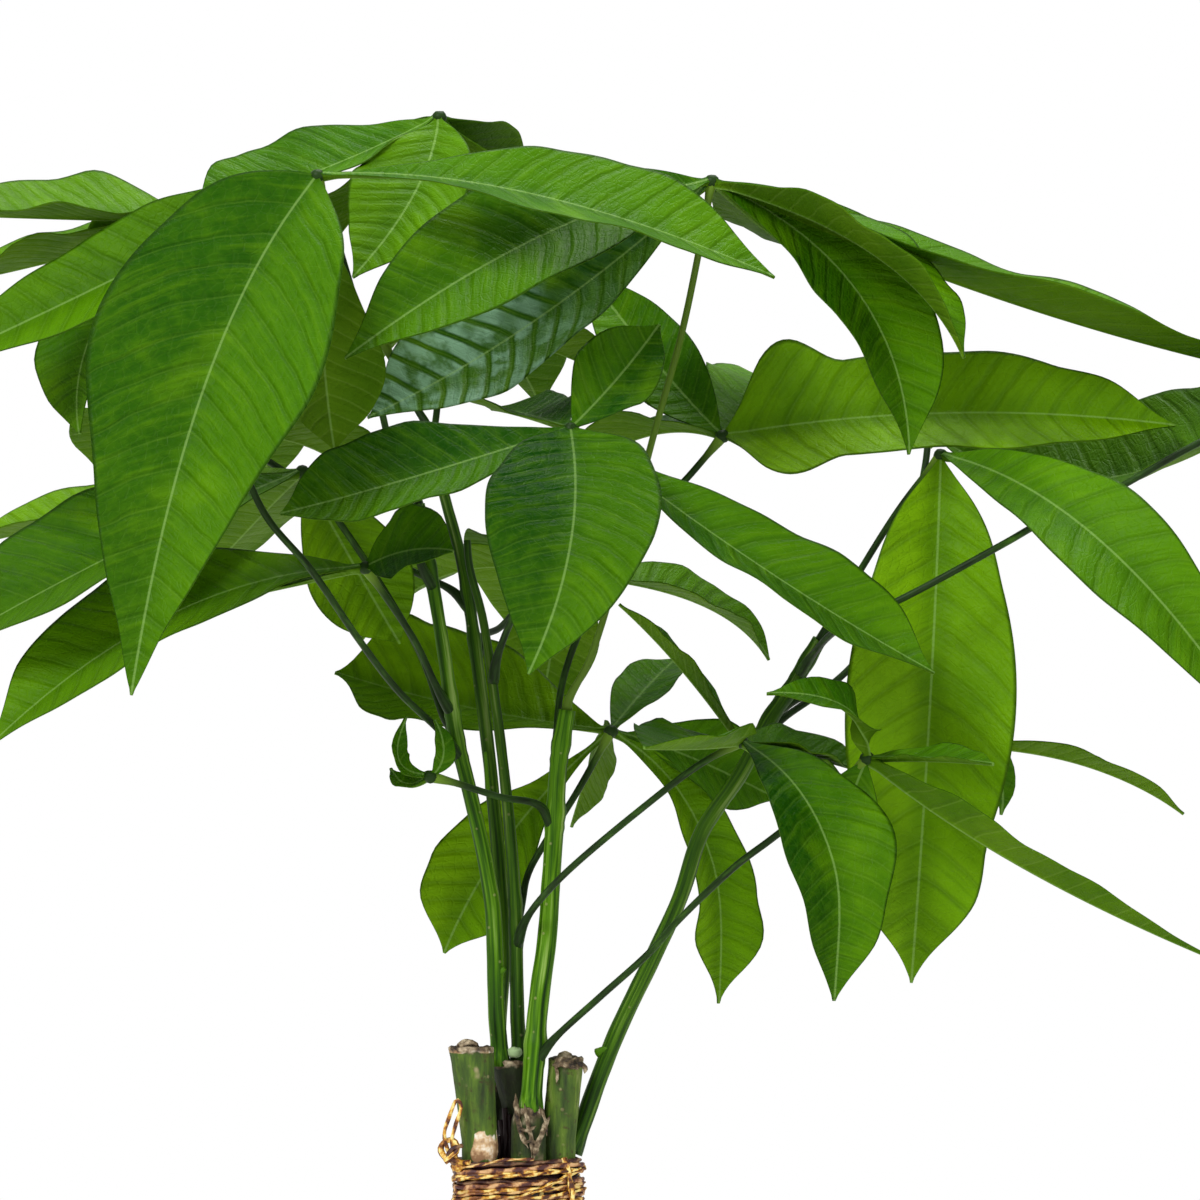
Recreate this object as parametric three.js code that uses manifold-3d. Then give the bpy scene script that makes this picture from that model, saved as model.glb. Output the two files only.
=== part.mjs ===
// A potted money tree: five plaited trunks in a plain round pot, cut off and tied with raffia near the top,
// with five green shoots that carry palmate leaves. Millimetres, +Z up, origin at the middle of the pot base.
import * as THREE from 'three';
import { mergeVertices } from 'three/addons/utils/BufferGeometryUtils.js';
import Module from 'manifold-3d';

const wasm = await Module();
wasm.setup();

// ---- driving dimensions ----
const gap = 0.3; // between pieces that rest on or in each other
const smallest = 0.03; // joined edges closer than this are merged

const pot = {
  height: 106, baseRadius: 44, topRadius: 60, rimRadius: 62.5, rimDrop: 14,
  wall: 3.5, floor: 5, edge: 1.5, ledge: 2, sides: 32,
  drains: 3, drainRadius: 4, drainRing: 24, drainSides: 12,
};

const soil = { edge: 90, crown: 95, shoulder: 0.75, top: 0.4, sides: 24, holeSides: 10 };

// The trunks run in a flat figure of eight, a fifth of a turn apart, which plaits them.
const plait = {
  bottom: 98, top: 258, seat: 62, reachTop: [10.9, 8.8], reachBottom: [20, 16], spread: 0.35,
  turn: 216, neck: 4, ease: 0.15, radiusTop: 4.35, radiusBottom: 6.2, sides: 8, steps: 17,
};

const tie = {
  bottom: 259, top: 281, turns: 5, strand: 1.5, inside: 0.45, groove: 1.1, step: 0.3, around: 20,
  knotRadius: 1.5, knotSides: 6,
};

// Each trunk above the tie: the middle and radius of its cut top. They stand in the plait's own order.
const trunkTops = [
  { name: 'trunk_right', cut: [12.8, -1.2, 305.5], radius: 4.3 },
  { name: 'trunk_middle_back', cut: [-1.6, 3.4, 304.5], radius: 4.5 },
  { name: 'trunk_left', cut: [-10.8, -9.2, 308.5], radius: 5.6 },
  { name: 'trunk_left_back', cut: [-5, 12.2, 298], radius: 4.4 },
  { name: 'trunk_middle_front', cut: [3.6, -5, 293], radius: 4.4 },
];

// Green shoots that grew from the cut trunks: their middle line, and the radius at the foot and the tip.
const shoots = [
  { name: 'shoot_left', radius: [2.2, 1.5],
    line: [[-4, 1.6, 304.8], [-4, 1.5, 308], [-4.6, -0.6, 318], [-5.8, -2, 345], [-10.8, -2, 370],
      [-14.4, -2, 385], [-18.2, -1, 410], [-21.6, 0, 430], [-24, 1, 444]] },
  { name: 'shoot_middle', radius: [1.9, 0.9],
    line: [[0.9, 4, 304.8], [0.9, 3.9, 308], [0.5, 2, 320], [0, 1, 345], [-2, 2, 370],
      [-5, 2, 395], [-8, 2, 415], [-11.5, 2, 429], [-12, 2, 435]] },
  { name: 'shoot_right', radius: [2.7, 2.1],
    line: [[4, -5, 293.3], [4.1, -4.9, 296.5], [5.2, -3.5, 310], [6, -2, 320], [8, 0, 335], [9, 0, 350],
      [10, 0, 365], [11, 0, 380], [13, 0, 392.5]] },
  { name: 'shoot_outer', radius: [2.3, 1.8],
    line: [[14.8, 2.9, 291.4], [17.2, 4.7, 291.4], [21.8, 6, 302.5], [27, 4, 315], [32.3, 2, 326],
      [41, 0, 345], [47, -1, 362.5], [56, -1, 376], [63.5, -2, 390], [68.5, -3, 397.5], [76, -6, 410]] },
  { name: 'shoot_back', radius: [2.0, 1.3],
    line: [[-4.8, 12.3, 298.3], [-4.7, 12.2, 301.5], [-4, 11, 315], [-3, 9.4, 332], [-5.5, 10, 370],
      [-9, 11, 400], [-13, 17, 427], [-19, 30, 450], [-22, 37, 462]] },
];

// Leaves. A leaf stands on a shoot, at a height on it or on its tip. Its stalk passes the points of via to
// the hub, where its leaflets spread. A leaflet is the middle of its rib, its tip, its width, the way it
// faces and, where they differ, its belly, its lobes and its hook. Below 1 the belly puts the widest place
// nearer the root, the lobes widen or narrow it at its stations, and the hook bends its tip sideways.
const leaves = [
  { name: 'leaf_front_left', shoot: 'shoot_left', at: 428, hub: [-48, -58, 524],
    via: [[-27, -6, 440], [-33, -18, 467], [-38, -32, 489]],
    blades: [
      [[-74.5, -80, 473], [-92, -100, 397], 62, [-0.1, -0.95, 0.35], 0.85, [1.05, 0.95, 1, 0.85, 0.8]],
      [[-95, -55, 500], [-148, -54, 475], 27, [0.05, -0.72, 0.62], 0.9],
      [[4, -68, 519], [64, -60, 499], 38, [0, -0.5, 0.86], 1.8],
      [[-47, -49, 486], [-44, -46, 457], 29, [0.3, 0.9, 0.3], 1.6],
    ] },
  { name: 'leaf_top', shoot: 'shoot_left', at: 'tip', hub: [-19, 8, 541],
    via: [[-20, 3, 464], [-18, 5, 518]],
    blades: [
      [[-50, 4, 526.8], [-81, -2, 517], 32, [0, -0.4, 0.9], 1.15, [1, 1, 1, 1.1, 1.6]],
      [[-38, 44, 522], [-55, 78, 501], 34, [-0.3, -0.4, 0.85]],
      [[-16, 50, 530], [-18, 96, 514], 38, [0, -0.2, 0.97]],
      [[-1, 34, 521], [18, 60, 511], 34, [0.2, -0.3, 0.9]],
      [[-25, -9, 521], [-40, -22, 500], 32, [-0.2, -0.8, 0.5]],
    ] },
  { name: 'leaf_upper_right', shoot: 'shoot_right', at: 'tip', hub: [49, -20, 524],
    via: [[19, -4, 406], [31, -9, 447.5], [35, -11, 462.5], [41.5, -14, 486], [46, -17, 507.5]],
    blades: [
      [[6, -47, 509], [-41, -66, 479], 38, [-0.25, -0.85, 0.45], 1.2],
      [[5, -22, 489], [-36, -38, 465], 35, [0, -0.7, 0.65], 1.25, [1, 1, 1, 1.1, 1.2]],
      [[89.2, -40, 505.5], [110.8, -50, 479.5], 36, [0.1, 0.1, 1]],
      [[85, -24, 496], [97.5, -34, 456], 34, [0.55, -0.75, 0.4]],
      [[121, -14, 495.4], [189, 8, 477], 42, [0.1, -0.12, 1], 1.05, [1, 1, 1, 1.2, 1.2]],
      [[65, 26, 512], [73, 60, 510], 30, [0, 0, 1]],
    ] },
  { name: 'leaf_far_left', shoot: 'shoot_left', at: 385, hub: [-81, -40, 514],
    via: [[-29, -16, 397.5], [-39, -30, 411], [-50, -42, 427.5], [-62, -48, 442.5], [-71.5, -50, 470]],
    blades: [
      [[-106, -36, 514.5], [-149, -38, 515.5], 40, [0, -0.25, 0.97], 1.05, [0.7, 0.85, 1, 1, 1]],
      [[-110, -16, 506], [-146, -4, 498], 38, [0, -0.2, 0.98]],
      [[-103, -34, 488], [-107, -40, 461], 30, [-0.65, -0.6, 0.35]],
      [[-90, -2, 507], [-100, 38, 493], 36, [0, 0.1, 1]],
    ] },
  { name: 'leaf_right_middle', shoot: 'shoot_right', at: 384, hub: [52, 6, 461],
    via: [[12, 7, 400], [20, 8, 420], [35, 7, 442], [43.5, 6, 451]],
    blades: [
      [[108, 0, 466.5], [165, -2, 463.5], 42, [0, -0.8, 0.6], 0.8, [1.75, 0.83, 0.78, 0.95, 1.25]],
      [[36, 22, 479], [18, 46, 503], 22, [-0.4, -0.6, 0.7]],
      [[34, 22, 462], [14, 42, 452], 32, [0.1, -0.2, 0.97]],
      [[66, 38, 473], [70, 72, 471], 38, [0, -0.2, 1]],
    ] },
  { name: 'leaf_far_right', shoot: 'shoot_outer', at: 405, hub: [189, -22, 469],
    via: [[78, -25, 411], [84, -42, 415], [96, -44, 420.5], [121, -44, 434], [130, -38, 439],
      [146, -36, 446], [164, -33, 456]],
    blades: [
      [[146, 16, 450], [106, 26, 461], 45, [0, -0.6, 0.8], 0.75, [1.45, 1.15, 1, 1, 1]],
      [[214, -40, 482], [240, -64, 468], 40, [0.1, -0.4, 0.9]],
      [[218, -12, 480], [246, 8, 462], 42, [0.1, 0, 1]],
      [[204, 14, 460], [216, 50, 442], 40, [0, 0.1, 1]],
      [[197, -32, 444], [205, -38, 408], 36, [0.7, -0.6, 0.2]],
    ] },
  { name: 'leaf_hanging_right', shoot: 'shoot_outer', at: 'tip', hub: [106, -16, 456],
    via: [[85, -9, 425.5], [96, -12, 443]],
    blades: [
      [[103, -27, 394], [98.5, -22, 325], 45, [0, -1, 0.05], 1, [1.15, 1, 1, 1, 1.45]],
      [[144, -62, 434], [183, -68, 386], 29, [0.1, -0.87, 0.5]],
      [[107, 14, 436], [107, 40, 421], 17, [0, 0.1, 0.97]],
    ] },
  { name: 'leaf_centre', shoot: 'shoot_middle', at: 404, hub: [14, -45, 462],
    via: [[1, -14, 420], [8, -32, 443]],
    blades: [
      [[14, -84, 433], [4, -98, 402], 45, [0, -0.75, 0.65], 0.85, [1.15, 1.05, 1, 0.95, 0.9]],
      [[-29, -58, 448.5], [-57, -62, 441], 31, [-0.1, -0.7, 0.7]],
      [[2, -24, 466], [-6, 14, 468], 26, [0, -0.2, 0.97]],
      [[26, -38, 475], [36, -36, 488], 24, [-0.3, -0.9, 0.2]],
      [[59, -56, 429], [103, -64, 402], 33, [0.2, -0.5, 0.85], 1.4, [1, 1, 1, 1, 1.3]],
    ] },
  { name: 'leaf_left_middle', shoot: 'shoot_left', at: 396, hub: [-37, -20, 428],
    via: [[-25, -10, 410]],
    blades: [
      [[-84, -32, 416.5], [-129, -40, 384], 40, [0, -0.5, 0.87], 1.3, [1, 1, 1, 0.9, 1]],
      [[-66, -22, 421.5], [-92, -24, 415], 15, [0, -0.3, 0.95]],
      [[-26, -27, 432], [-15, -34, 432], 25, [0.1, -0.8, 0.6]],
    ] },
  { name: 'leaf_left_back', shoot: 'shoot_left', at: 391, hub: [-53, -4, 452],
    via: [[-24, 7, 407], [-35, 5, 426], [-45, 0, 441]],
    blades: [
      [[-97, -26, 432], [-146, -34, 405], 45, [0, -0.45, 0.9], 1.3],
      [[-98, 14, 443], [-142, 22, 433], 38, [0, -0.2, 0.97]],
      [[-40, 10, 428], [-29, 14, 409], 28, [-0.1, -0.95, 0.2]],
      [[-66, 32, 440], [-82, 70, 424], 36, [0, 0.1, 1]],
    ] },
  { name: 'leaf_centre_low', shoot: 'shoot_middle', at: 344, hub: [24, 14, 387],
    via: [[3.5, 9, 352], [8, 11, 360], [15, 12, 371]],
    blades: [
      [[-12, 36, 392.5], [-46, 42, 401.5], 44, [0, -0.55, 0.83], 1.3, [1, 1, 1, 1.15, 1.8]],
      [[-1, 24, 361], [-18, 24, 331], 29, [0, -0.8, 0.5], 1.45, [0.5, 0.5, 0.85, 1, 1.3]],
      [[20, 42, 380], [14, 72, 362], 15, [1, 0, 0.2]],
      [[46.8, 27, 361], [53, 24, 318], 22, [0.6, -0.75, 0.2], 1.4, [1, 0.7, 0.85, 1, 1.7], 2.5],
      [[33, 36, 397.5], [41, 58, 405], 16, [0.1, -0.2, 0.97]],
      [[43, 30, 380.5], [66, 40, 369.5], 25, [0, -0.85, 0.5], 1.8],
    ] },
  { name: 'leaf_low_right', shoot: 'shoot_middle', at: 338, hub: [56, -38, 385],
    via: [[11, -18, 350.5], [33.5, -34, 370], [46, -38, 379.5]],
    blades: [
      [[76, -62, 362], [81, -70, 322], 34, [0.4, -0.8, 0.4], 1.1, [0.9, 0.9, 0.98, 0.9, 1.1], 3],
      [[45, -56, 384], [32, -76, 384], 32, [-0.2, -0.4, 0.9]],
      [[41, -36, 404], [26, -36, 419], 16, [0.7, 0, 0.7]],
      [[71, -27, 382], [88, -24, 377], 22, [0, -0.3, 0.95]],
      [[68, -28, 377], [84, -14, 371], 22, [0, 0, 1]],
    ] },
  { name: 'leaf_low_front', shoot: 'shoot_right', at: 309, hub: [87, -48, 381],
    via: [[21, -14, 321], [33.5, -22, 332.5], [41, -27, 341], [55, -36, 354.5], [63.5, -40, 361],
      [80.5, -45, 374.5]],
    blades: [
      [[81, -60, 393.5], [62, -64, 397], 15, [-0.2, -0.6, 0.8]],
      [[103, -60, 381], [117, -78, 380], 13, [0, -0.3, 0.95]],
      [[124, -56, 355.5], [172, -60, 332], 21, [0.45, 0.2, 0.85], 0.75],
      [[82, -46, 366], [80, -43, 348], 18, [0, -0.9, 0.3]],
    ] },
  { name: 'leaf_low_back', shoot: 'shoot_outer', at: 396, hub: [104, 12, 384],
    via: [[80, 5, 397], [93, 10, 391]],
    blades: [
      [[140, 14, 379.8], [167.5, 16, 366.2], 15, [0.2, 0.05, 1], 1.05, [1, 1, 1, 1, 1.2], 3],
      [[119, 14, 379], [122, 16, 366], 10, [0.3, -0.9, 0.2]],
      [[103, 20, 362], [101, 26, 338], 34, [0, -0.85, 0.5]],
      [[108, 46, 389], [112, 84, 374], 36, [0, 0.1, 1]],
    ] },
  { name: 'leaf_young', shoot: 'shoot_right', at: 367, hub: [-21, -12, 376],
    via: [[-4, -10, 371], [-15, -11, 374.5]],
    blades: [
      [[-29, -14, 380], [-27, -15, 391], 8, [0.7, -0.5, 0.5]],
      [[-18, -14, 382], [-20, -12, 390], 7, [0.6, -0.7, 0.3]],
      [[-27, -9, 374], [-31, -6, 378], 7, [0, -0.5, 0.8]],
    ] },
  { name: 'leaf_back_top', shoot: 'shoot_back', at: 'tip', hub: [-34, 52, 486],
    via: [[-26, 42, 470]],
    blades: [
      [[-66, 76, 488], [-92, 92, 470], 40, [-0.1, 0.1, 1]],
      [[-44, 94, 488], [-52, 132, 466], 44, [0, 0.2, 1]],
      [[-10, 90, 490], [6, 126, 470], 42, [0.1, 0.2, 1]],
      [[2, 62, 486], [34, 66, 470], 38, [0.1, 0, 1]],
    ] },
  { name: 'leaf_back_right', shoot: 'shoot_outer', at: 390, hub: [105, 60, 470],
    via: [[85, 14, 404], [96, 30, 426], [104, 49, 455]],
    blades: [
      [[82, 92, 472], [68, 120, 462], 38, [-0.1, 0.1, 1]],
      [[104, 104, 473], [108, 142, 460], 42, [0, 0.1, 1]],
      [[130, 88, 471], [152, 108, 459], 40, [0.1, 0.1, 1]],
      [[134, 60, 468], [160, 56, 458], 36, [0.1, 0, 1]],
    ] },
  { name: 'leaf_back_low', shoot: 'shoot_back', at: 410, hub: [10, 62, 427],
    via: [[-4, 26, 413], [3, 44, 421]],
    blades: [
      [[-18, 82, 427], [-40, 96, 410], 33, [-0.1, 0.2, 1]],
      [[6, 100, 429], [2, 136, 406], 42, [0, 0.3, 1]],
      [[45.6, 84, 420], [64.8, 94, 404.5], 23, [0, -0.4, 0.9]],
      [[9, 76, 409], [5, 82, 389], 26, [0, 0.9, 0.3]],
    ] },
  { name: 'leaf_back_left', shoot: 'shoot_back', at: 422, hub: [-78, 56, 462],
    via: [[-31, 28, 430], [-50, 43, 446], [-66, 52, 457]],
    blades: [
      [[-98, 66, 464], [-108, 80, 454], 32, [-0.1, 0, 1]],
      [[-90, 88, 464], [-100, 116, 450], 38, [-0.1, 0.1, 1]],
      [[-70, 92, 464], [-64, 124, 450], 38, [0, 0.1, 1]],
      [[-54, 74, 460], [-38, 88, 447], 32, [0.1, 0.1, 1]],
    ] },
];

const blade = {
  stations: [0, 0.1, 0.28, 0.5, 0.72, 0.9, 1], thickness: 0.8, rootHalf: 0.9, tipHalf: 0.4,
  belly: 1.05, even: [1, 1, 1, 1, 1], hookFrom: 0.6, taper: 0.9, fold: 20, sink: 0.6,
  wave: 1.1, fullWave: 30, waves: 2.5,
};
const stalk = {
  radius: 0.9, footRadius: 1.6, tipFootRadius: 1.36, footLength: 12, footReach: 2.6, hubRadius: 2.0,
  sides: 5, step: 18,
};
const shootSides = 8;

// ---- helpers ----
const rad = THREE.MathUtils.degToRad;
const vec = (p) => new THREE.Vector3(...p);
const smooth = (u) => THREE.MathUtils.smoothstep(u, 0, 1);

function geometryOf(points, triangles) {
  const geometry = new THREE.BufferGeometry();
  geometry.setAttribute('position', new THREE.Float32BufferAttribute(points.flat(), 3));
  geometry.setIndex(triangles.flat());
  return geometry;
}

function solidOf(geometry) {
  const bare = geometry.clone();
  bare.deleteAttribute('normal');
  bare.deleteAttribute('uv');
  const merged = mergeVertices(bare, 1e-5);
  return new wasm.Manifold(new wasm.Mesh({
    numProp: 3,
    vertProperties: new Float32Array(merged.attributes.position.array),
    triVerts: new Uint32Array(merged.index.array),
  }));
}

function geometryFrom(solid) {
  const mesh = solid.getMesh();
  const geometry = new THREE.BufferGeometry();
  geometry.setAttribute('position', new THREE.BufferAttribute(new Float32Array(mesh.vertProperties), 3));
  geometry.setIndex(new THREE.BufferAttribute(new Uint32Array(mesh.triVerts), 1));
  return geometry;
}

function join(geometries) {
  const whole = geometries.map(solidOf).reduce((sum, piece) => sum.add(piece));
  return geometryFrom(whole.simplify(smallest));
}

// Rows of points round a body, closed by a fan at each end.
function rowsToSolid(rows) {
  const sides = rows[0].length;
  const triangles = [];
  for (let i = 0; i + 1 < rows.length; i++) {
    for (let k = 0; k < sides; k++) {
      const a = i * sides + k;
      const b = i * sides + ((k + 1) % sides);
      triangles.push([a, b, b + sides], [a, b + sides, a + sides]);
    }
  }
  const last = (rows.length - 1) * sides;
  for (let k = 1; k + 1 < sides; k++) {
    triangles.push([0, k + 1, k], [last, last + k, last + k + 1]);
  }
  return geometryOf(rows.flat(), triangles);
}

// A round rod along a smooth line; radiusAt gives its radius from 0 at the foot to 1 at the end.
function rod(line, radiusAt, sides, steps) {
  const curve = new THREE.CatmullRomCurve3(line.map(vec), false, 'centripetal');
  const frames = curve.computeFrenetFrames(steps, false);
  const rows = [];
  for (let i = 0; i <= steps; i++) {
    const middle = curve.getPointAt(i / steps);
    const row = [];
    for (let k = 0; k < sides; k++) {
      const angle = (2 * Math.PI * k) / sides;
      const spot = middle.clone()
        .addScaledVector(frames.normals[i], radiusAt(i / steps) * Math.cos(angle))
        .addScaledVector(frames.binormals[i], radiusAt(i / steps) * Math.sin(angle));
      row.push(spot.toArray());
    }
    rows.push(row);
  }
  return rowsToSolid(rows);
}

function lathe(profile, sides) {
  const outline = profile.map(([r, z]) => new THREE.Vector2(r, z));
  return new THREE.LatheGeometry(outline, sides).rotateX(Math.PI / 2);
}

const parts = new THREE.Group();

function addPiece(name, geometry, look) {
  const mesh = new THREE.Mesh(geometry, new THREE.MeshStandardMaterial(look));
  mesh.name = name;
  parts.add(mesh);
}

// ---- pot ----
const potLook = { color: 0xd9d2c4, roughness: 0.45, metalness: 0 };

function potRadiusAt(z) {
  return pot.baseRadius + ((pot.topRadius - pot.baseRadius) * z) / pot.height;
}

function makePot() {
  const rimFoot = pot.height - pot.rimDrop;
  const shell = solidOf(lathe([
    [0, 0],
    [pot.baseRadius - pot.edge, 0],
    [potRadiusAt(pot.edge), pot.edge],
    [potRadiusAt(rimFoot), rimFoot],
    [pot.rimRadius, rimFoot + pot.ledge],
    [pot.rimRadius, pot.height - pot.edge],
    [pot.rimRadius - pot.edge, pot.height],
    [pot.topRadius - pot.wall, pot.height],
    [potRadiusAt(pot.floor) - pot.wall, pot.floor],
    [0, pot.floor],
  ], pot.sides));
  let bored = shell;
  for (let i = 0; i < pot.drains; i++) {
    const angle = (2 * Math.PI * (i + 0.5)) / pot.drains;
    const drill = new THREE.CylinderGeometry(pot.drainRadius, pot.drainRadius, 4 * pot.floor, pot.drainSides)
      .rotateX(Math.PI / 2)
      .translate(pot.drainRing * Math.cos(angle), pot.drainRing * Math.sin(angle), 0);
    bored = bored.subtract(solidOf(drill));
  }
  addPiece('pot', geometryFrom(bored), potLook);
}

// ---- plaited trunks ----
const barkLook = { color: 0x7d7a4a, roughness: 0.8, metalness: 0 };

// The share of the turn made by depth u: the trunks leave the tie and enter the soil upright.
function plaitTurn(u) {
  const e = plait.ease;
  const whole = 1 - e;
  if (u < e) return (u * u) / (2 * e) / whole;
  if (u > 1 - e) return 1 - ((1 - u) * (1 - u)) / (2 * e) / whole;
  return (u - e / 2) / whole;
}

function plaitPoint(strand, z) {
  const u = THREE.MathUtils.clamp((plait.top - z) / (plait.top - plait.bottom), 0, 1);
  const s = smooth(u / plait.spread);
  const a = rad((360 * strand) / trunkTops.length + plait.turn * plaitTurn(u));
  const reachX = THREE.MathUtils.lerp(plait.reachTop[0], plait.reachBottom[0], s);
  const reachY = THREE.MathUtils.lerp(plait.reachTop[1], plait.reachBottom[1], s);
  return [reachX * Math.cos(a), reachY * Math.sin(2 * a), z];
}

function plaitRadius(z) {
  const u = THREE.MathUtils.clamp((plait.top - z) / (plait.top - plait.bottom), 0, 1);
  return THREE.MathUtils.lerp(plait.radiusTop, plait.radiusBottom, u);
}

function makeTrunk(strand) {
  const top = trunkTops[strand];
  const neck = tie.top + plait.neck;
  const heights = [plait.seat, (plait.seat + plait.bottom) / 2];
  for (let i = 0; i <= plait.steps; i++) {
    heights.push(plait.bottom + ((plait.top - plait.bottom) * i) / plait.steps);
  }
  heights.push((plait.top + neck) / 2, neck);
  const centres = heights.map((z) => vec(plaitPoint(strand, z)));
  const radii = heights.map(plaitRadius);
  const shoulder = centres[centres.length - 1].clone().lerp(vec(top.cut), 1 / 2);
  centres.push(shoulder, vec(top.cut));
  radii.push((plait.radiusTop + top.radius) / 2, top.radius);
  const rows = centres.map((middle, i) => {
    const before = centres[Math.max(i - 1, 0)];
    const after = centres[Math.min(i + 1, centres.length - 1)];
    const level = i === centres.length - 1;
    const along = level ? new THREE.Vector3(0, 0, 1) : after.clone().sub(before).normalize();
    const sideways = new THREE.Vector3(1, 0, 0).addScaledVector(along, -along.x).normalize();
    const across = along.clone().cross(sideways);
    return Array.from({ length: plait.sides }, (_, k) => {
      const angle = (2 * Math.PI * k) / plait.sides;
      return middle.clone()
        .addScaledVector(sideways, radii[i] * Math.cos(angle))
        .addScaledVector(across, radii[i] * Math.sin(angle))
        .toArray();
    });
  });
  addPiece(top.name, rowsToSolid(rows), barkLook);
}

// ---- soil, with a plain hole for each trunk ----
function makeSoil() {
  const inside = (z) => potRadiusAt(pot.floor) - pot.wall
    + ((pot.topRadius - potRadiusAt(pot.floor)) * (z - pot.floor)) / (pot.height - pot.floor) - 2 * gap;
  let ground = solidOf(lathe([
    [0, pot.floor + gap],
    [inside(pot.floor), pot.floor + gap],
    [inside(soil.edge), soil.edge],
    [soil.shoulder * inside(soil.edge), (soil.edge + 2 * soil.crown) / 3],
    [soil.top * inside(soil.edge), soil.crown],
    [0, soil.crown],
  ], soil.sides));
  const holeFoot = plait.seat - gap;
  const holeTop = soil.crown + 10;
  const holeRadius = (plait.radiusBottom + gap) / Math.cos(Math.PI / soil.holeSides);
  for (let strand = 0; strand < trunkTops.length; strand++) {
    const [x, y] = plaitPoint(strand, plait.bottom);
    const hole = new THREE.CylinderGeometry(holeRadius, holeRadius, holeTop - holeFoot, soil.holeSides)
      .rotateX(Math.PI / 2)
      .translate(x, y, (holeTop + holeFoot) / 2);
    ground = ground.subtract(solidOf(hole));
  }
  addPiece('soil', geometryFrom(ground), { color: 0x3a2a1e, roughness: 0.95, metalness: 0 });
}

// ---- raffia tie: windings round all five trunks, a knot on the left and a loose end on the right ----
function tieOutline(distance) {
  const outline = [];
  for (let i = 0; i < tie.around; i++) {
    const angle = (2 * Math.PI * i) / tie.around;
    const away = new THREE.Vector2(Math.cos(angle), Math.sin(angle));
    const spots = trunkTops.map((_, strand) => {
      const [x, y] = plaitPoint(strand, tie.top);
      return new THREE.Vector2(x, y).addScaledVector(away, plait.radiusTop + distance);
    });
    spots.sort((p, q) => q.dot(away) - p.dot(away));
    outline.push(spots[0]);
  }
  return outline;
}

function makeTie() {
  const section = [[tie.inside, tie.top], [tie.inside, tie.bottom]];
  for (let i = 0; i < tie.turns; i++) {
    const low = THREE.MathUtils.lerp(tie.bottom, tie.top, i / tie.turns);
    const middle = THREE.MathUtils.lerp(tie.bottom, tie.top, (i + 0.5) / tie.turns);
    section.push([tie.groove, low + tie.step], [gap + tie.strand, middle]);
  }
  section.push([tie.groove, tie.top]);
  const rings = section.map(([distance, z]) => tieOutline(distance).map((spot) => [spot.x, spot.y, z]));
  const points = [];
  const triangles = [];
  for (let i = 0; i < tie.around; i++) {
    for (const ring of rings) points.push(ring[i]);
  }
  const wide = section.length;
  for (let i = 0; i < tie.around; i++) {
    const next = (i + 1) % tie.around;
    for (let k = 0; k < wide; k++) {
      const after = (k + 1) % wide;
      const a = i * wide + k;
      const b = next * wide + k;
      const c = next * wide + after;
      const d = i * wide + after;
      triangles.push([a, b, c], [a, c, d]);
    }
  }
  const band = geometryOf(points, triangles);
  const loop = rod([[-14, -12.2, 279.5], [-17.3, -13, 284.5], [-17.2, -14, 290], [-14.5, -15, 295.5],
    [-13.2, -15.5, 290], [-14.6, -14.2, 283], [-14, -12.5, 277]], () => tie.knotRadius, tie.knotSides, 11);
  const end = rod([[13.6, -6.2, 276], [14.2, -6.6, 272], [13.9, -6.8, 264], [14.4, -7.2, 254]],
    () => tie.knotRadius, tie.knotSides, 7);
  addPiece('tie', join([band, loop, end]), { color: 0xb98f45, roughness: 0.7, metalness: 0 });
}

// ---- shoots ----
const shootLook = { color: 0x5d7a2c, roughness: 0.6, metalness: 0 };

function makeShoot({ name, line, radius }) {
  const steps = Math.ceil(vec(line[0]).distanceTo(vec(line[line.length - 1])) / stalk.step) + 2;
  const radiusAt = (u) => THREE.MathUtils.lerp(radius[0], radius[1], u);
  addPiece(name, rod(line, radiusAt, shootSides, steps), shootLook);
}

// ---- leaves ----
const leafLook = { color: 0x4f8a1c, roughness: 0.4, metalness: 0 };

// A leaflet's half width at u along its rib: a wedge at the root, widest near the middle, a drawn-out tip.
function halfWidthAt(u, wide, belly, lobe) {
  const swell = Math.sin(Math.PI * u ** belly) ** blade.taper;
  const least = THREE.MathUtils.lerp(blade.rootHalf, blade.tipHalf, u);
  return Math.max((wide / 2) * (swell || 0) * lobe, least);
}

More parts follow.
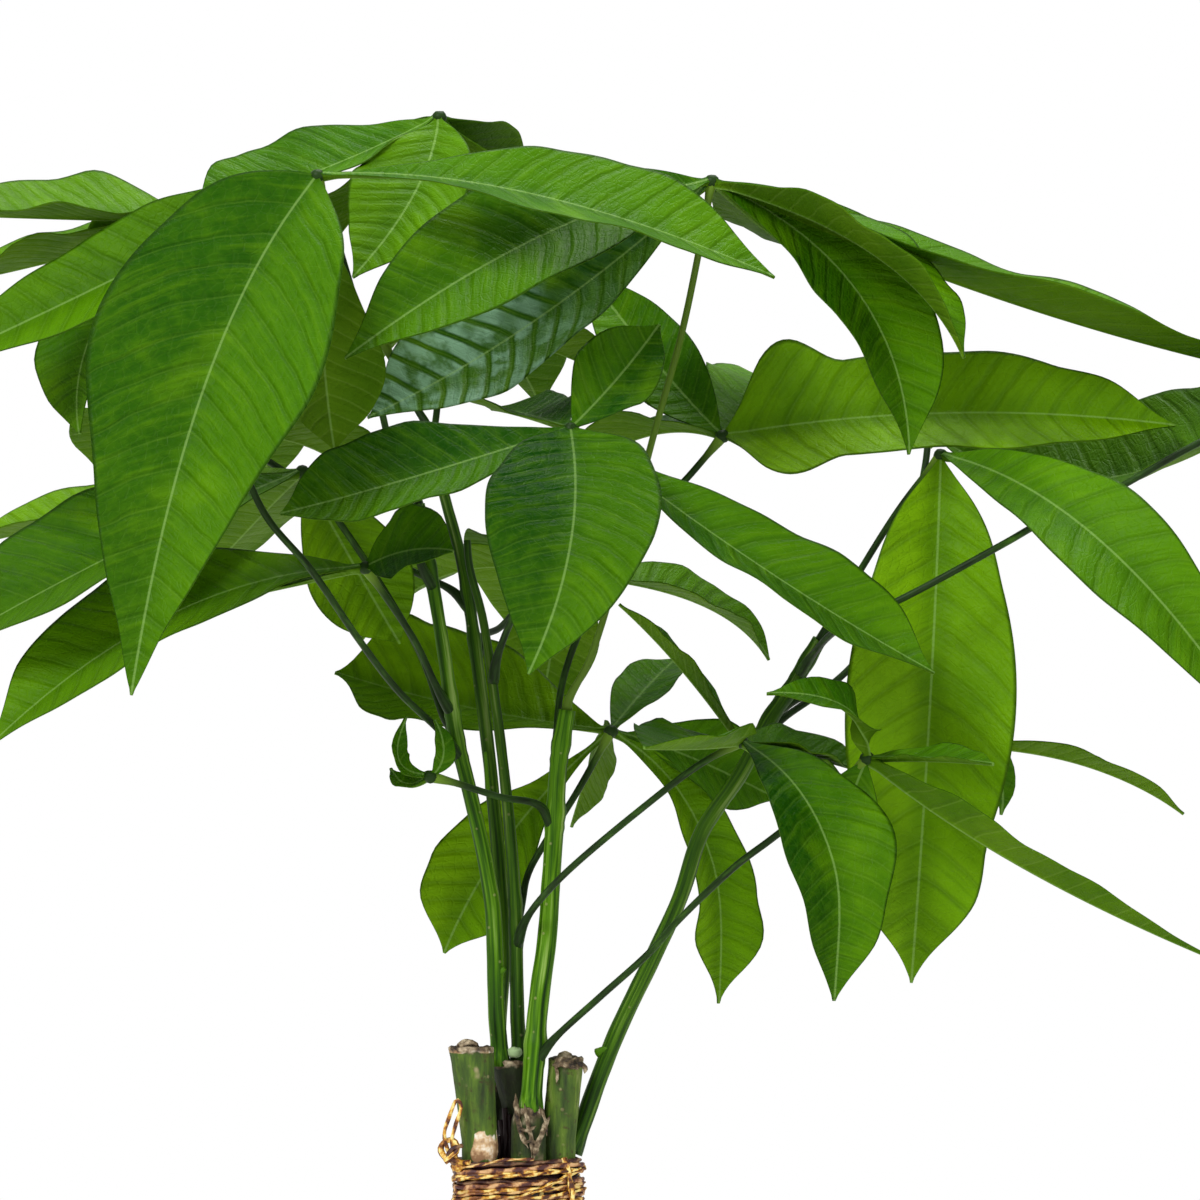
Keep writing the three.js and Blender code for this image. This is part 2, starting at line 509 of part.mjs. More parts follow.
function makeBlade(hub, [bow, tip, wide, face, belly = blade.belly, lobes = blade.even, hook = 0], order) {
  const root = vec(hub).lerp(vec(bow), blade.sink / vec(hub).distanceTo(vec(bow)));
  const pull = vec(bow).multiplyScalar(2).addScaledVector(vec(hub), -0.5).addScaledVector(vec(tip), -0.5);
  const rib = new THREE.QuadraticBezierCurve3(root, pull, vec(tip));
  const wave = blade.wave * Math.min(1, wide / blade.fullWave);
  const rows = blade.stations.map((u, station) => {
    const middle = rib.getPoint(u);
    const along = rib.getTangent(u);
    const side = along.clone().cross(vec(face)).normalize();
    const up = side.clone().cross(along).normalize();
    const half = halfWidthAt(u, wide, belly, [1, ...lobes, 1][station]);
    middle.addScaledVector(side, hook * smooth((u - blade.hookFrom) / (1 - blade.hookFrom)));
    const swell = half / (wide / 2);
    const row = [];
    for (const lift of [0.5, -0.5]) {
      for (const hand of [-1, 0, 1]) {
        const ripple = wave * swell * Math.sin(2 * Math.PI * blade.waves * u + order + hand);
        const rise = Math.abs(hand) * (half * Math.sin(rad(blade.fold)) + ripple) + lift * blade.thickness;
        row.push(middle.clone()
          .addScaledVector(side, hand * half * Math.cos(rad(blade.fold)))
          .addScaledVector(up, rise)
          .toArray());
      }
    }
    return row;
  });
  const points = rows.flat();
  const triangles = [];
  const wall = (a, b, c, d) => triangles.push([a, b, c], [a, c, d]);
  for (let i = 0; i + 1 < rows.length; i++) {
    const n = 6 * i;
    const m = n + 6;
    for (const k of [0, 1]) {
      triangles.push([n + k, n + k + 1, m + k + 1], [n + k, m + k + 1, m + k]);
      triangles.push([n + k + 3, m + k + 4, n + k + 4], [n + k + 3, m + k + 3, m + k + 4]);
    }
    wall(n, m, m + 3, n + 3);
    wall(n + 2, n + 5, m + 5, m + 2);
  }
  const end = 6 * (rows.length - 1);
  wall(0, 3, 4, 1);
  wall(1, 4, 5, 2);
  wall(end, end + 1, end + 4, end + 3);
  wall(end + 1, end + 2, end + 5, end + 4);
  return geometryOf(points, triangles);
}

// A stalk leaves its shoot square to it, or carries on from the shoot's tip.
function stalkLine(leaf) {
  const shoot = shoots.find((one) => one.name === leaf.shoot);
  const curve = new THREE.CatmullRomCurve3(shoot.line.map(vec), false, 'centripetal');
  const target = vec(leaf.via[0]);
  if (leaf.at === 'tip') {
    const tip = curve.getPoint(1);
    const along = curve.getTangent(1);
    const collar = tip.clone().addScaledVector(along, gap + stalk.footReach);
    return [tip.addScaledVector(along, gap), collar, ...leaf.via.map(vec), vec(leaf.hub)];
  }
  let t = 0;
  while (curve.getPointAt(t).z < leaf.at) t += 0.002;
  const middle = curve.getPointAt(t);
  const along = curve.getTangentAt(t);
  const away = target.sub(middle);
  away.addScaledVector(along, -away.dot(along)).normalize();
  const reach = THREE.MathUtils.lerp(shoot.radius[0], shoot.radius[1], t) + gap;
  const foot = middle.clone().addScaledVector(away, reach);
  const knee = middle.clone().addScaledVector(away, reach + stalk.footReach);
  return [foot, knee, ...leaf.via.map(vec), vec(leaf.hub)];
}

function makeLeaf(leaf) {
  const line = stalkLine(leaf);
  const length = new THREE.CatmullRomCurve3(line, false, 'centripetal').getLength();
  const steps = Math.ceil(length / stalk.step) + 2;
  const foot = leaf.at === 'tip' ? stalk.tipFootRadius : stalk.footRadius;
  const radiusAt = (u) => THREE.MathUtils.lerp(foot, stalk.radius, smooth((u * length) / stalk.footLength));
  const stem = rod(line.map((p) => p.toArray()), radiusAt, stalk.sides, steps);
  const hub = new THREE.IcosahedronGeometry(stalk.hubRadius, 0).translate(...leaf.hub);
  const blades = leaf.blades.map((one, order) => makeBlade(leaf.hub, one, order));
  addPiece(leaf.name, join([stem, hub, ...blades]), leafLook);
}

makePot();
trunkTops.forEach((_, strand) => makeTrunk(strand));
makeSoil();
makeTie();
shoots.forEach(makeShoot);
leaves.forEach(makeLeaf);

export default parts;
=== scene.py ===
# Potted money tree: plaited trunks in a cream pot, tied with raffia, with green shoots and palmate leaves.
# Sizes are in millimetres and become metres in addPiece. The viewer of the photograph stands on the -Y side.
import math
import random

import bpy
import numpy as np
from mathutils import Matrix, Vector, noise


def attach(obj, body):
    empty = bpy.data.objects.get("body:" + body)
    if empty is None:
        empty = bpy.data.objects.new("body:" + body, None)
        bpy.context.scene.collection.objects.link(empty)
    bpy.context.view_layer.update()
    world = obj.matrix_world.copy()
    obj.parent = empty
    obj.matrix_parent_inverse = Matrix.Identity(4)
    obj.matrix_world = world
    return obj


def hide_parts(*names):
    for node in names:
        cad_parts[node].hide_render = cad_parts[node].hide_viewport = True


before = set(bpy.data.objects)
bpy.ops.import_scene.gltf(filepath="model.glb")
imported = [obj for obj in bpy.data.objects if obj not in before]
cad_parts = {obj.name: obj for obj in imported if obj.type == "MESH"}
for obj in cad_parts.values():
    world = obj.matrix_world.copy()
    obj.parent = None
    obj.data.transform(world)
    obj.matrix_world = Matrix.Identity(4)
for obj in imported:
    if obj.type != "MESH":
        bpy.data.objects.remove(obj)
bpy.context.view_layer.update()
print("frame loaded,", len(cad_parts), "nodes")

millimetre = 0.001


# sRGB hex to a linear colour
def linear(hexColour):
    parts = [int(hexColour[i:i + 2], 16) / 255 for i in (1, 3, 5)]
    return tuple(c / 12.92 if c <= 0.04045 else ((c + 0.055) / 1.055) ** 2.4 for c in parts) + (1.0,)


def mix(a, b, t):
    return a + (b - a) * t


def smooth(t):
    t = min(max(t, 0.0), 1.0)
    return t * t * (3 - 2 * t)


# sets or links one socket: a hex string is a colour, and a node stands for its first output in use
def feed(socket, value):
    if isinstance(value, bpy.types.Node):
        value = next(output for output in value.outputs if output.enabled)
    if isinstance(value, bpy.types.NodeSocket):
        socket.id_data.links.new(value, socket)
    else:
        socket.default_value = linear(value) if isinstance(value, str) else value


def setInputs(node, **values):
    for name, value in values.items():
        feed(node.inputs[name.replace("_", " ")], value)


# a shader node with its settings and links; values fill its sockets in use in their order, and stops are
# those of a colour ramp
def addNode(tree, kind, *values, stops=(), **named):
    node = tree.nodes.new("ShaderNode" + kind)
    for name in [name for name in named if hasattr(node, name)]:
        setattr(node, name, named.pop(name))
    for socket, value in zip([socket for socket in node.inputs if socket.enabled], values):
        feed(socket, value)
    setInputs(node, **named)
    if stops:
        while len(node.color_ramp.elements) < len(stops):
            node.color_ramp.elements.new(0.5)
        for element, (place, colour) in zip(node.color_ramp.elements, stops):
            element.position, element.color = place, linear(colour)
    return node


# coats over a colour: each comes in where its value runs from low to high, and takes from least to most of it
def layCoats(tree, skin, coats):
    for value, low, high, least, most, colour in coats:
        share = addNode(tree, "MapRange", value, low, high, least, most, interpolation_type="SMOOTHSTEP")
        skin = addNode(tree, "Mix", share, skin, colour, data_type="RGBA")
    return skin


def newMaterial(name, **shaderValues):
    material = bpy.data.materials.new(name)
    material.use_nodes = True
    shader = material.node_tree.nodes["Principled BSDF"]
    setInputs(shader, **shaderValues)
    return material, material.node_tree, shader


# the scale of a pattern whose marks are about size millimetres across
def patternScale(size):
    return 1 / (size * millimetre)


# points in mm, faces, a material number for each face, and two sets of values painted on the points, which
# the materials read: where a point is on its piece (marks) and how it differs in colour (tones)
class Form:
    def __init__(self):
        self.points, self.faces, self.looks, self.marks, self.tones = [], [], [], [], []

    def add(self, points, faces, look=0, marks=None, tones=None):
        start = len(self.points)
        self.points += [tuple(p) for p in points]
        self.faces += [tuple(start + i for i in f) for f in faces]
        self.looks += [look] * len(faces)
        self.marks += marks if marks is not None else [(0, 0, 0)] * len(points)
        self.tones += tones if tones is not None else [(0, 0, 0)] * len(points)


# a visible piece on the plant's one body, in the place of the solid of that name
def addPiece(name, form, materials, node):
    mesh = bpy.data.meshes.new(name)
    mesh.from_pydata([tuple(c * millimetre for c in p) for p in form.points], [], form.faces)
    for material in materials:
        mesh.materials.append(material)
    mesh.polygons.foreach_set("material_index", form.looks)
    for label, values in (("marks", form.marks), ("tones", form.tones)):
        layer = mesh.attributes.new(label, "FLOAT_VECTOR", "POINT")
        layer.data.foreach_set("vector", np.array(values, dtype=np.float32).ravel())
    mesh.shade_smooth()
    mesh.update()
    piece = bpy.data.objects.new(name, mesh)
    bpy.context.scene.collection.objects.link(piece)
    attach(piece, "root")
    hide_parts(node)
    return piece


# the angles of so many even steps round a circle
def turns(count):
    return [2 * math.pi * k / count for k in range(count)]


# faces of a tube whose rows of points are joined in turn, closed at both ends
def tubeFaces(rows, sides):
    faces = []
    for i in range(rows - 1):
        for k in range(sides):
            n = (k + 1) % sides
            faces.append((i * sides + k, i * sides + n, (i + 1) * sides + n, (i + 1) * sides + k))
    faces.append(tuple(reversed(range(sides))))
    faces.append(tuple((rows - 1) * sides + k for k in range(sides)))
    return faces


# faces of a turned form: a first point, its rings of points and a last point
def turnedFaces(rings, around):
    pairs = [(k, (k + 1) % around) for k in range(around)]
    last = 1 + (rings - 1) * around
    faces = [(0, 1 + n, 1 + k) for k, n in pairs]
    for a in range(1, last, around):
        faces += [(a + k, a + n, a + around + n, a + around + k) for k, n in pairs]
    return faces + [(last + k, last + n, last + around) for k, n in pairs]


# a smooth line through points, its bends as even as its spans (centripetal Catmull-Rom)
def throughPoints(points, perSpan=20):
    p = [Vector(q) for q in points]
    p = [p[0] * 2 - p[1]] + p + [p[-1] * 2 - p[-2]]
    out = []
    for i in range(1, len(p) - 2):
        d = [max((p[i + k] - p[i + k - 1]).length, 1e-6) ** 0.5 for k in range(3)]
        first = (p[i] - p[i - 1]) / d[0] - (p[i + 1] - p[i - 1]) / (d[0] + d[1]) + (p[i + 1] - p[i]) / d[1]
        last = (p[i + 1] - p[i]) / d[1] - (p[i + 2] - p[i]) / (d[1] + d[2]) + (p[i + 2] - p[i + 1]) / d[2]
        first, last = first * d[1], last * d[1]
        for s in range(perSpan):
            t = s / perSpan
            out.append(p[i] + first * t + (p[i + 1] * 3 - p[i] * 3 - first * 2 - last) * t * t
                       + (p[i] * 2 - p[i + 1] * 2 + first + last) * t ** 3)
    return out + [p[-2].copy()]


# the same line with its points about a step apart, and its length
def evenly(line, step):
    lengths = [0.0]
    for a, b in zip(line, line[1:]):
        lengths.append(lengths[-1] + (b - a).length)
    count = max(int(round(lengths[-1] / step)), 3)
    out, k = [], 0
    for i in range(count + 1):
        want = lengths[-1] * i / count
        while k < len(line) - 2 and lengths[k + 1] < want:
            k += 1
        span = max(lengths[k + 1] - lengths[k], 1e-9)
        out.append(line[k].lerp(line[k + 1], min(max((want - lengths[k]) / span, 0), 1)))
    return out, lengths[-1]


# for each point of a line, two directions square to it that turn as little as they can
def carried(line):
    along = [(line[min(i + 1, len(line) - 1)] - line[max(i - 1, 0)]).normalized() for i in range(len(line))]
    across = along[0].orthogonal().normalized()
    frames = []
    for a in along:
        across = (across - a * across.dot(a)).normalized()
        frames.append((across, a.cross(across), a))
    return frames


# rows round a rod; shape(t, angle) swells or flattens it
def rodRows(line, radiusAt, sides, shape=None):
    points = []
    for i, ((across, up, _), middle) in enumerate(zip(carried(line), line)):
        t = i / (len(line) - 1)
        for angle in turns(sides):
            r = radiusAt(t) * (shape(t, angle) if shape else 1)
            points.append(middle + across * (r * math.cos(angle)) + up * (r * math.sin(angle)))
    return points


# for each point of such a rod, its place in the rod's own grain, in metres: round it and along it
def rodGrain(line, radiusAt, sides):
    grain, run = [], 0.0
    for i, middle in enumerate(line):
        run += (middle - line[i - 1]).length if i else 0
        r = radiusAt(i / (len(line) - 1)) * millimetre
        grain += [(r * math.cos(angle), r * math.sin(angle), run * millimetre) for angle in turns(sides)]
    return grain


# a lumpy knob: a ball of rings that squash flattens and rough makes uneven
def addKnob(form, centre, radius, look=0, squash=(1, 1, 1), seed=0, rough=0.12, rings=6, sides=10,
            tone=(0, 0, 0)):
    points = []
    for i in range(rings + 1):
        lift = math.pi * i / rings
        for turn in turns(sides):
            d = Vector((math.sin(lift) * math.cos(turn), math.sin(lift) * math.sin(turn), -math.cos(lift)))
            r = radius * (1 + rough * noise.noise(d * 1.7 + Vector((seed, seed * 0.7, 0))))
            points.append(Vector(centre) + Vector([d[n] * r * squash[n] for n in range(3)]))
    points = [points[0]] + points[sides:-sides] + [points[-1]]  # the poles are one point each
    form.add(points, turnedFaces(rings - 1, sides), look, tones=[tone] * len(points))


# leaf blade: living leaf, a waxy skin over a puckered blade
# The wax gives a soft satin on a saturated green; the underside is duller and more olive.
def leafMaterial():
    material, tree, shader = newMaterial("waxyLeaf", Roughness=0.44, IOR=1.45, Specular_IOR_Level=0.07)
    painted = [addNode(tree, "Attribute", attribute_name=name) for name in ("marks", "tones")]
    marks, tones = [node.outputs["Vector"] for node in painted]
    run, across, edge = addNode(tree, "SeparateXYZ", marks).outputs
    tone, under, spacing = addNode(tree, "SeparateXYZ", tones).outputs
    place = addNode(tree, "TexCoord").outputs["Object"]
    out = addNode(tree, "Math", across, operation="ABSOLUTE")
    length = addNode(tree, "Math", spacing, veins["spacing"], operation="DIVIDE")
    along = addNode(tree, "Math", run, length, operation="DIVIDE")
    cloud = addNode(tree, "TexNoise", place, patternScale(26), 3, 0.55)
    fine = addNode(tree, "TexNoise", place, patternScale(3.2), 2, 0.55)
    net = addNode(tree, "TexVoronoi", place, patternScale(2.6), feature="DISTANCE_TO_EDGE")
    # cell rows, drawn at 0.9 mm because the real 0.05 mm doesn't show
    cells = addNode(tree, "TexVoronoi", place, patternScale(0.9))

    # side veins leave the rib at a slant, arch to the tip and lie 5 to 9 mm apart
    lean = addNode(tree, "Math", out, veins["arch"], veins["slant"], operation="MULTIPLY_ADD")
    reach = addNode(tree, "Math", lean, out, operation="MULTIPLY")
    straight = addNode(tree, "Math", run, reach, operation="SUBTRACT")
    wobble = addNode(tree, "TexNoise", place, patternScale(14), 1, 0.55)
    wobble = addNode(tree, "Math", wobble, 0.5, operation="SUBTRACT")
    phase = addNode(tree, "Math", wobble, 3.0, straight, operation="MULTIPLY_ADD")
    beside = addNode(tree, "Math", phase, spacing, operation="DIVIDE")
    beside = addNode(tree, "Math", beside, 0.5, operation="PINGPONG")
    beside = addNode(tree, "Math", beside, spacing, operation="MULTIPLY")
    # wrinkles run with the side veins, 2.6 mm apart and 17 mm long
    wrinkle = addNode(tree, "CombineXYZ", phase, across, tone)
    wrinkle = addNode(tree, "VectorMath", wrinkle, (2.6, 17, 1), operation="DIVIDE")
    wrinkle = addNode(tree, "TexNoise", wrinkle, 1, 3, 0.6)

    # upper side: from the deep green of a shade leaf to the yellow-green of a young one
    green = addNode(tree, "ValToRGB", tone, stops=[(0.0, "#0b3e00"), (0.45, "#386a02"), (1.0, "#78a804")])
    green = layCoats(tree, green, [
        (cloud, 0.46, 0.68, 0, 0.36, "#134000"), (cloud, 0.46, 0.3, 0, 0.35, "#6c9c06"),
        (out, 1.0, 7.0, 0.4, 0, "#154400"), (fine, 0.35, 0.75, 0, 0.2, "#4f8000"),
        (across, -6, 6, 0.42, 0, "#528600"),  # painted light: one half of the blade is painted lighter, as if it turned more to the light
        (along, 0.3, 0.95, 0, 0.1, "#6c9c04"),  # the outer half is thinner and lighter
        # painted shade: the first coat here darkens a band along each side vein, the shade of its sunken
        # groove
        (beside, 0.25, 1.5, 0.2, 0, "#123c00"), (net, 0.0, 0.1, 0.03, 0, "#7fb030"),
        # painted light and shade of the wrinkles: lighter on their ridges, darker in their hollows
        (wrinkle, 0.48, 0.72, 0, 0.17, "#6f9f08"), (wrinkle, 0.5, 0.28, 0, 0.18, "#123e00"),
        (beside, 0.06, 0.4, 0.08, 0, "#86b440"), (edge, 0.94, 0.99, 0, 0.7, "#1c3a04"),
    ])
    # painted sheen: a leaf that faces the sky gets a pale bluish painted reflection on each cushion between
    # its dark veins
    sheenBlotches = addNode(tree, "TexNoise", place, patternScale(6), 3, 0.55)
    drift = addNode(tree, "TexNoise", place, patternScale(15), 1, 0.55)
    paintedSheen = addNode(tree, "MapRange", tone, -0.9, -0.05, 1, 0, interpolation_type="SMOOTHSTEP")
    for value, low, high, least, most in (
            (beside, 0.55, 1.4, 0, 1), (sheenBlotches, 0.36, 0.56, 0.1, 0.8), (drift, 0.4, 0.52, 0.3, 1),
            (along, 0.38, 0.6, 0.1, 1)):
        share = addNode(tree, "MapRange", value, low, high, least, most, interpolation_type="SMOOTHSTEP")
        paintedSheen = addNode(tree, "Math", paintedSheen, share, operation="MULTIPLY")
    green = addNode(tree, "Mix", paintedSheen, green, "#8bb595", data_type="RGBA")
    # underside: matt olive, its veins raised and pale
    below = layCoats(tree, "#3f6604", [
        (cloud, 0.3, 0.7, 0, 1, "#567c0c"), (beside, 0.06, 0.4, 0.12, 0, "#93b052")])
    skin = addNode(tree, "Mix", under, green, below, data_type="RGBA")
    skin = layCoats(tree, skin, [(out, 0.15, 0.45, 0.36, 0, "#93b864")])  # the rib

    wax = addNode(tree, "MapRange", fine, 0.3, 0.7, 0.4, 0.52, interpolation_type="SMOOTHSTEP")
    rough = addNode(tree, "Math", under, 0.2, wax, operation="MULTIPLY_ADD")
    groove = addNode(tree, "MapRange", beside, 0.25, 1.5, 1, 0, interpolation_type="SMOOTHSTEP")
    mesh = addNode(tree, "MapRange", net, 0.0, 0.1, 1, 0, interpolation_type="SMOOTHSTEP")
    height = fine
    for relief, weight in ((wrinkle, 3), (cells, 0.35), (mesh, -0.3), (groove, -1)):
        height = addNode(tree, "Math", relief, weight, height, operation="MULTIPLY_ADD")
    bump = addNode(tree, "Bump", Strength=0.6, Distance=0.4 * millimetre, Height=height)
    setInputs(shader, Base_Color=skin, Roughness=rough, Normal=bump)
    return material


# leaf stalk: young green stem, smooth, its skin finely ridged along it
def stalkMaterial():
    material, tree, shader = newMaterial("greenStalk", Roughness=0.45, IOR=1.45, Specular_IOR_Level=0.16)
    painted = [addNode(tree, "Attribute", attribute_name=name) for name in ("marks", "tones")]
    marks, tones = [node.outputs["Vector"] for node in painted]
    pale, _, _ = addNode(tree, "SeparateXYZ", tones).outputs
    grain = addNode(tree, "Mapping", marks, Scale=(3.2, 3.2, 0.5))
    streak = addNode(tree, "TexNoise", grain, patternScale(5), 3, 0.6)
    skin = addNode(tree, "ValToRGB", streak, stops=[(0.3, "#131f0c"), (0.55, "#243f12"), (0.75, "#456d20")])
    skin = addNode(tree, "Mix", pale, skin, "#7ba02e", data_type="RGBA")
    bump = addNode(tree, "Bump", Strength=0.3, Distance=0.3 * millimetre, Height=streak)
    setInputs(shader, Base_Color=skin, Normal=bump)
    return material


# shoot: green bark of a young stem, satin, with long pale streaks and a few corky dots
def shootMaterial():
    material, tree, shader = newMaterial("greenShootBark", Roughness=0.42, IOR=1.45, Specular_IOR_Level=0.14)
    painted = [addNode(tree, "Attribute", attribute_name=name) for name in ("marks", "tones")]
    marks, tones = [node.outputs["Vector"] for node in painted]
    pale, shade, _ = addNode(tree, "SeparateXYZ", tones).outputs
    place = addNode(tree, "TexCoord").outputs["Object"]
    grain = addNode(tree, "Mapping", marks, Scale=(4.5, 4.5, 0.12))
    streak = addNode(tree, "TexNoise", grain, patternScale(6), 4, 0.6)
    patch = addNode(tree, "Mapping", marks, Scale=(3, 3, 0.5))
    patch = addNode(tree, "TexNoise", patch, patternScale(18), 3, 0.6)
    dots = addNode(tree, "TexVoronoi", place, patternScale(4.4))
    skin = addNode(tree, "ValToRGB", streak, stops=[
        (0.34, "#16300a"), (0.46, "#366206"), (0.57, "#5a8a10"), (0.68, "#94b25c")])
    skin = layCoats(tree, skin, [
        (patch, 0.52, 0.7, 0, 0.6, "#1e3a10"), (dots, 0.05, 0.12, 0.5, 0, "#9fa467")])
    # painted shade: each shoot is darkened as much as it stands in shade among the others
    skin = addNode(tree, "Mix", shade, skin, "#15260c", data_type="RGBA")
    skin = addNode(tree, "Mix", pale, skin, "#b4cf9a", data_type="RGBA")
    cork = addNode(tree, "MapRange", dots, 0.05, 0.12, 0.6, 0, interpolation_type="SMOOTHSTEP")
    height = addNode(tree, "Math", streak, cork, operation="ADD")
    bump = addNode(tree, "Bump", Strength=0.5, Distance=0.5 * millimetre, Height=height)
    setInputs(shader, Base_Color=skin, Normal=bump)
    return material


# trunk: young woody stem, green bark that turns grey-brown lower down, with corky dots and dry cut tops
def barkMaterial():
    material, tree, shader = newMaterial("trunkBark", Roughness=0.7, IOR=1.45)
    painted = [addNode(tree, "Attribute", attribute_name=name) for name in ("marks", "tones")]
    marks, tones = [node.outputs["Vector"] for node in painted]
    high, below, cap = addNode(tree, "SeparateXYZ", marks).outputs
    healed, paintedShade, shred = addNode(tree, "SeparateXYZ", tones).outputs
    place = addNode(tree, "TexCoord").outputs["Object"]
    drawn = addNode(tree, "Mapping", place, Scale=(2.6, 2.6, 0.45))
    streak = addNode(tree, "TexNoise", drawn, patternScale(9), 5, 0.62)
    specks, patch, thin, mottle, scar, callus, torn, grain = [
        addNode(tree, "TexNoise", place, patternScale(size), detail, rough) for size, detail, rough in (
            (1.8, 2, 0.55), (22, 2, 0.55), (5, 2, 0.55), (4.5, 4, 0.7), (11, 3, 0.55), (3.4, 3, 0.55),
            (3, 3, 0.55), (2.2, 4, 0.55))]

    young = addNode(tree, "ValToRGB", streak, stops=[
        (0.3, "#1c2c08"), (0.45, "#3a5510"), (0.58, "#587418"), (0.74, "#8f9a56")])
    young = layCoats(tree, young, [(specks, 0.6, 0.72, 0, 0.7, "#3a2a12")])
    old = addNode(tree, "ValToRGB", streak, stops=[
        (0.25, "#2f2a18"), (0.45, "#5b5635"), (0.62, "#7d7a52"), (0.8, "#a39a76")])
    # patch adds 45 mm on average, so the bark turns from old to young between 175 and 255 mm up
    level = addNode(tree, "Math", patch, 90, high, operation="MULTIPLY_ADD")
    skin = layCoats(tree, old, [(level, 220, 300, 0, 1, young)])
    # corky dots a millimetre across, and beige scars where side stems were cut away
    dots = addNode(tree, "TexVoronoi", place, patternScale(3.2))
    dot = addNode(tree, "MapRange", dots, 0.08, 0.2, 1, 0, interpolation_type="SMOOTHSTEP")
    thin = addNode(tree, "MapRange", thin, 0.46, 0.6, 0, 1, interpolation_type="SMOOTHSTEP")
    dot = addNode(tree, "Math", dot, thin, operation="MULTIPLY")
    share = addNode(tree, "Math", dot, 0.45, operation="MULTIPLY")
    skin = addNode(tree, "Mix", share, skin, "#a89c70", data_type="RGBA")
    healing = addNode(tree, "ValToRGB", callus, stops=[
        (0.38, "#8e6a48"), (0.5, "#cfae84"), (0.62, "#f2ead8")])
    healed = addNode(tree, "Math", streak, 0.5, healed, operation="MULTIPLY_ADD")
    skin = layCoats(tree, skin, [
        (mottle, 0.52, 0.68, 0, 0.6, "#3c3413"), (scar, 0.66, 0.72, 0, 0.6, "#b6a380"),
        (healed, 0.62, 0.8, 0, 1, healing)])
    # painted shade: a trunk in shade among the others turns near black
    skin = addNode(tree, "Mix", paintedShade, skin, "#0c0d06", data_type="RGBA")
    # the bark has dried along a ragged line about 1 mm below each cut, and where it hangs in shreds
    ragged = addNode(tree, "Math", torn, 0.5, operation="SUBTRACT")
    ragged = addNode(tree, "Math", ragged, 4, below, operation="MULTIPLY_ADD")
    dry = addNode(tree, "MapRange", ragged, 0.4, 1.6, 1, 0, interpolation_type="SMOOTHSTEP")
    dried = addNode(tree, "ValToRGB", grain, stops=[(0.34, "#20160d"), (0.5, "#6a5840"), (0.68, "#c2b193")])
    share = addNode(tree, "Math", dry, shred, operation="MAXIMUM")
    skin = addNode(tree, "Mix", share, skin, dried, data_type="RGBA")
    ringed = addNode(tree, "TexNoise", marks, 5, 4)
    ringed = addNode(tree, "Math", ringed, cap, operation="MULTIPLY")
    pith = addNode(tree, "ValToRGB", ringed, stops=[(0.08, "#3b2c1e"), (0.3, "#8f7c5c"), (0.6, "#cdbd98")])
    skin = layCoats(tree, skin, [(cap, 0.02, 0.12, 0, 1, pith)])
    height = addNode(tree, "Math", dot, 0.5, streak, operation="MULTIPLY_ADD")
    height = addNode(tree, "Math", grain, dry, height, operation="MULTIPLY_ADD")
    bump = addNode(tree, "Bump", Strength=0.8, Distance=0.8 * millimetre, Height=height)
    setInputs(shader, Base_Color=skin, Normal=bump)
    return material


trunkBark = barkMaterial()

plait = {
    "bottom": 98, "top": 258, "foot": 84, "reachTop": (10.9, 8.8), "reachBottom": (20, 16), "spread": 0.35,
    "turn": 216, "ease": 0.15, "radiusTop": 4.35, "radiusBottom": 6.2, "tieEnd": 285, "sides": 28,
    "step": 1.6,
}
# the skin of a trunk: swells as shares of its radius, the rest in mm
trunkSkin = {
    "lump": 0.045, "fine": 0.02, "ringScars": (211, 176, 143, 122), "ringShift": 9, "ringSpan": 17,
    "ringSwell": 0.05, "ringWide": 1.1, "level": 6, "lipDeep": 3, "scarRise": 0.5, "rimDeep": 1.3,
    "shadeFrom": 279, "shadeOver": 4, "shredSides": 12,
    "capRows": ((0.9, -0.35), (0.74, 0.15), (0.5, 0.35), (0.22, 0.2)),
}
# in the plait's order: the middle and radius of each cut top, how ragged its lip is, and for the trunks in
# shade how much painted shade darkens them
trunkTops = {
    "trunk_right": {"cut": (12.8, -1.2, 305.5), "radius": 4.3, "lip": 0.02, "shred": 2.6},
    "trunk_middle_back": {"cut": (-1.6, 3.4, 304.5), "radius": 4.5, "lip": 0.03, "paintedShade": 0.85},
    "trunk_left": {"cut": (-10.8, -9.2, 308.5), "radius": 5.6, "lip": 0.02, "rim": 0.9,
                   "scar": (-7.4, 283.2, 3.8, 3.2)},
    "trunk_left_back": {"cut": (-5, 12.2, 298), "radius": 4.4, "lip": 0.04, "paintedShade": 0.8},
    "trunk_middle_front": {"cut": (3.6, -5, 293), "radius": 4.4, "lip": -0.16, "shred": 3,
                           "paintedShade": 0.7},
}


# middle of a trunk at a height: the strands cross in a flat figure of eight, which tightens towards the tie
def plaitPoint(strand, z):
    u = min(max((plait["top"] - z) / (plait["top"] - plait["bottom"]), 0), 1)
    e = plait["ease"]
    if u < e:
        turned = u * u / (2 * e)
    elif u > 1 - e:
        turned = 1 - e - (1 - u) ** 2 / (2 * e)
    else:
        turned = u - e / 2
    angle = math.radians(360 / len(trunkTops) * strand + plait["turn"] * turned / (1 - e))
    s = smooth(u / plait["spread"])
    return Vector((mix(plait["reachTop"][0], plait["reachBottom"][0], s) * math.cos(angle),
                   mix(plait["reachTop"][1], plait["reachBottom"][1], s) * math.sin(2 * angle), z))


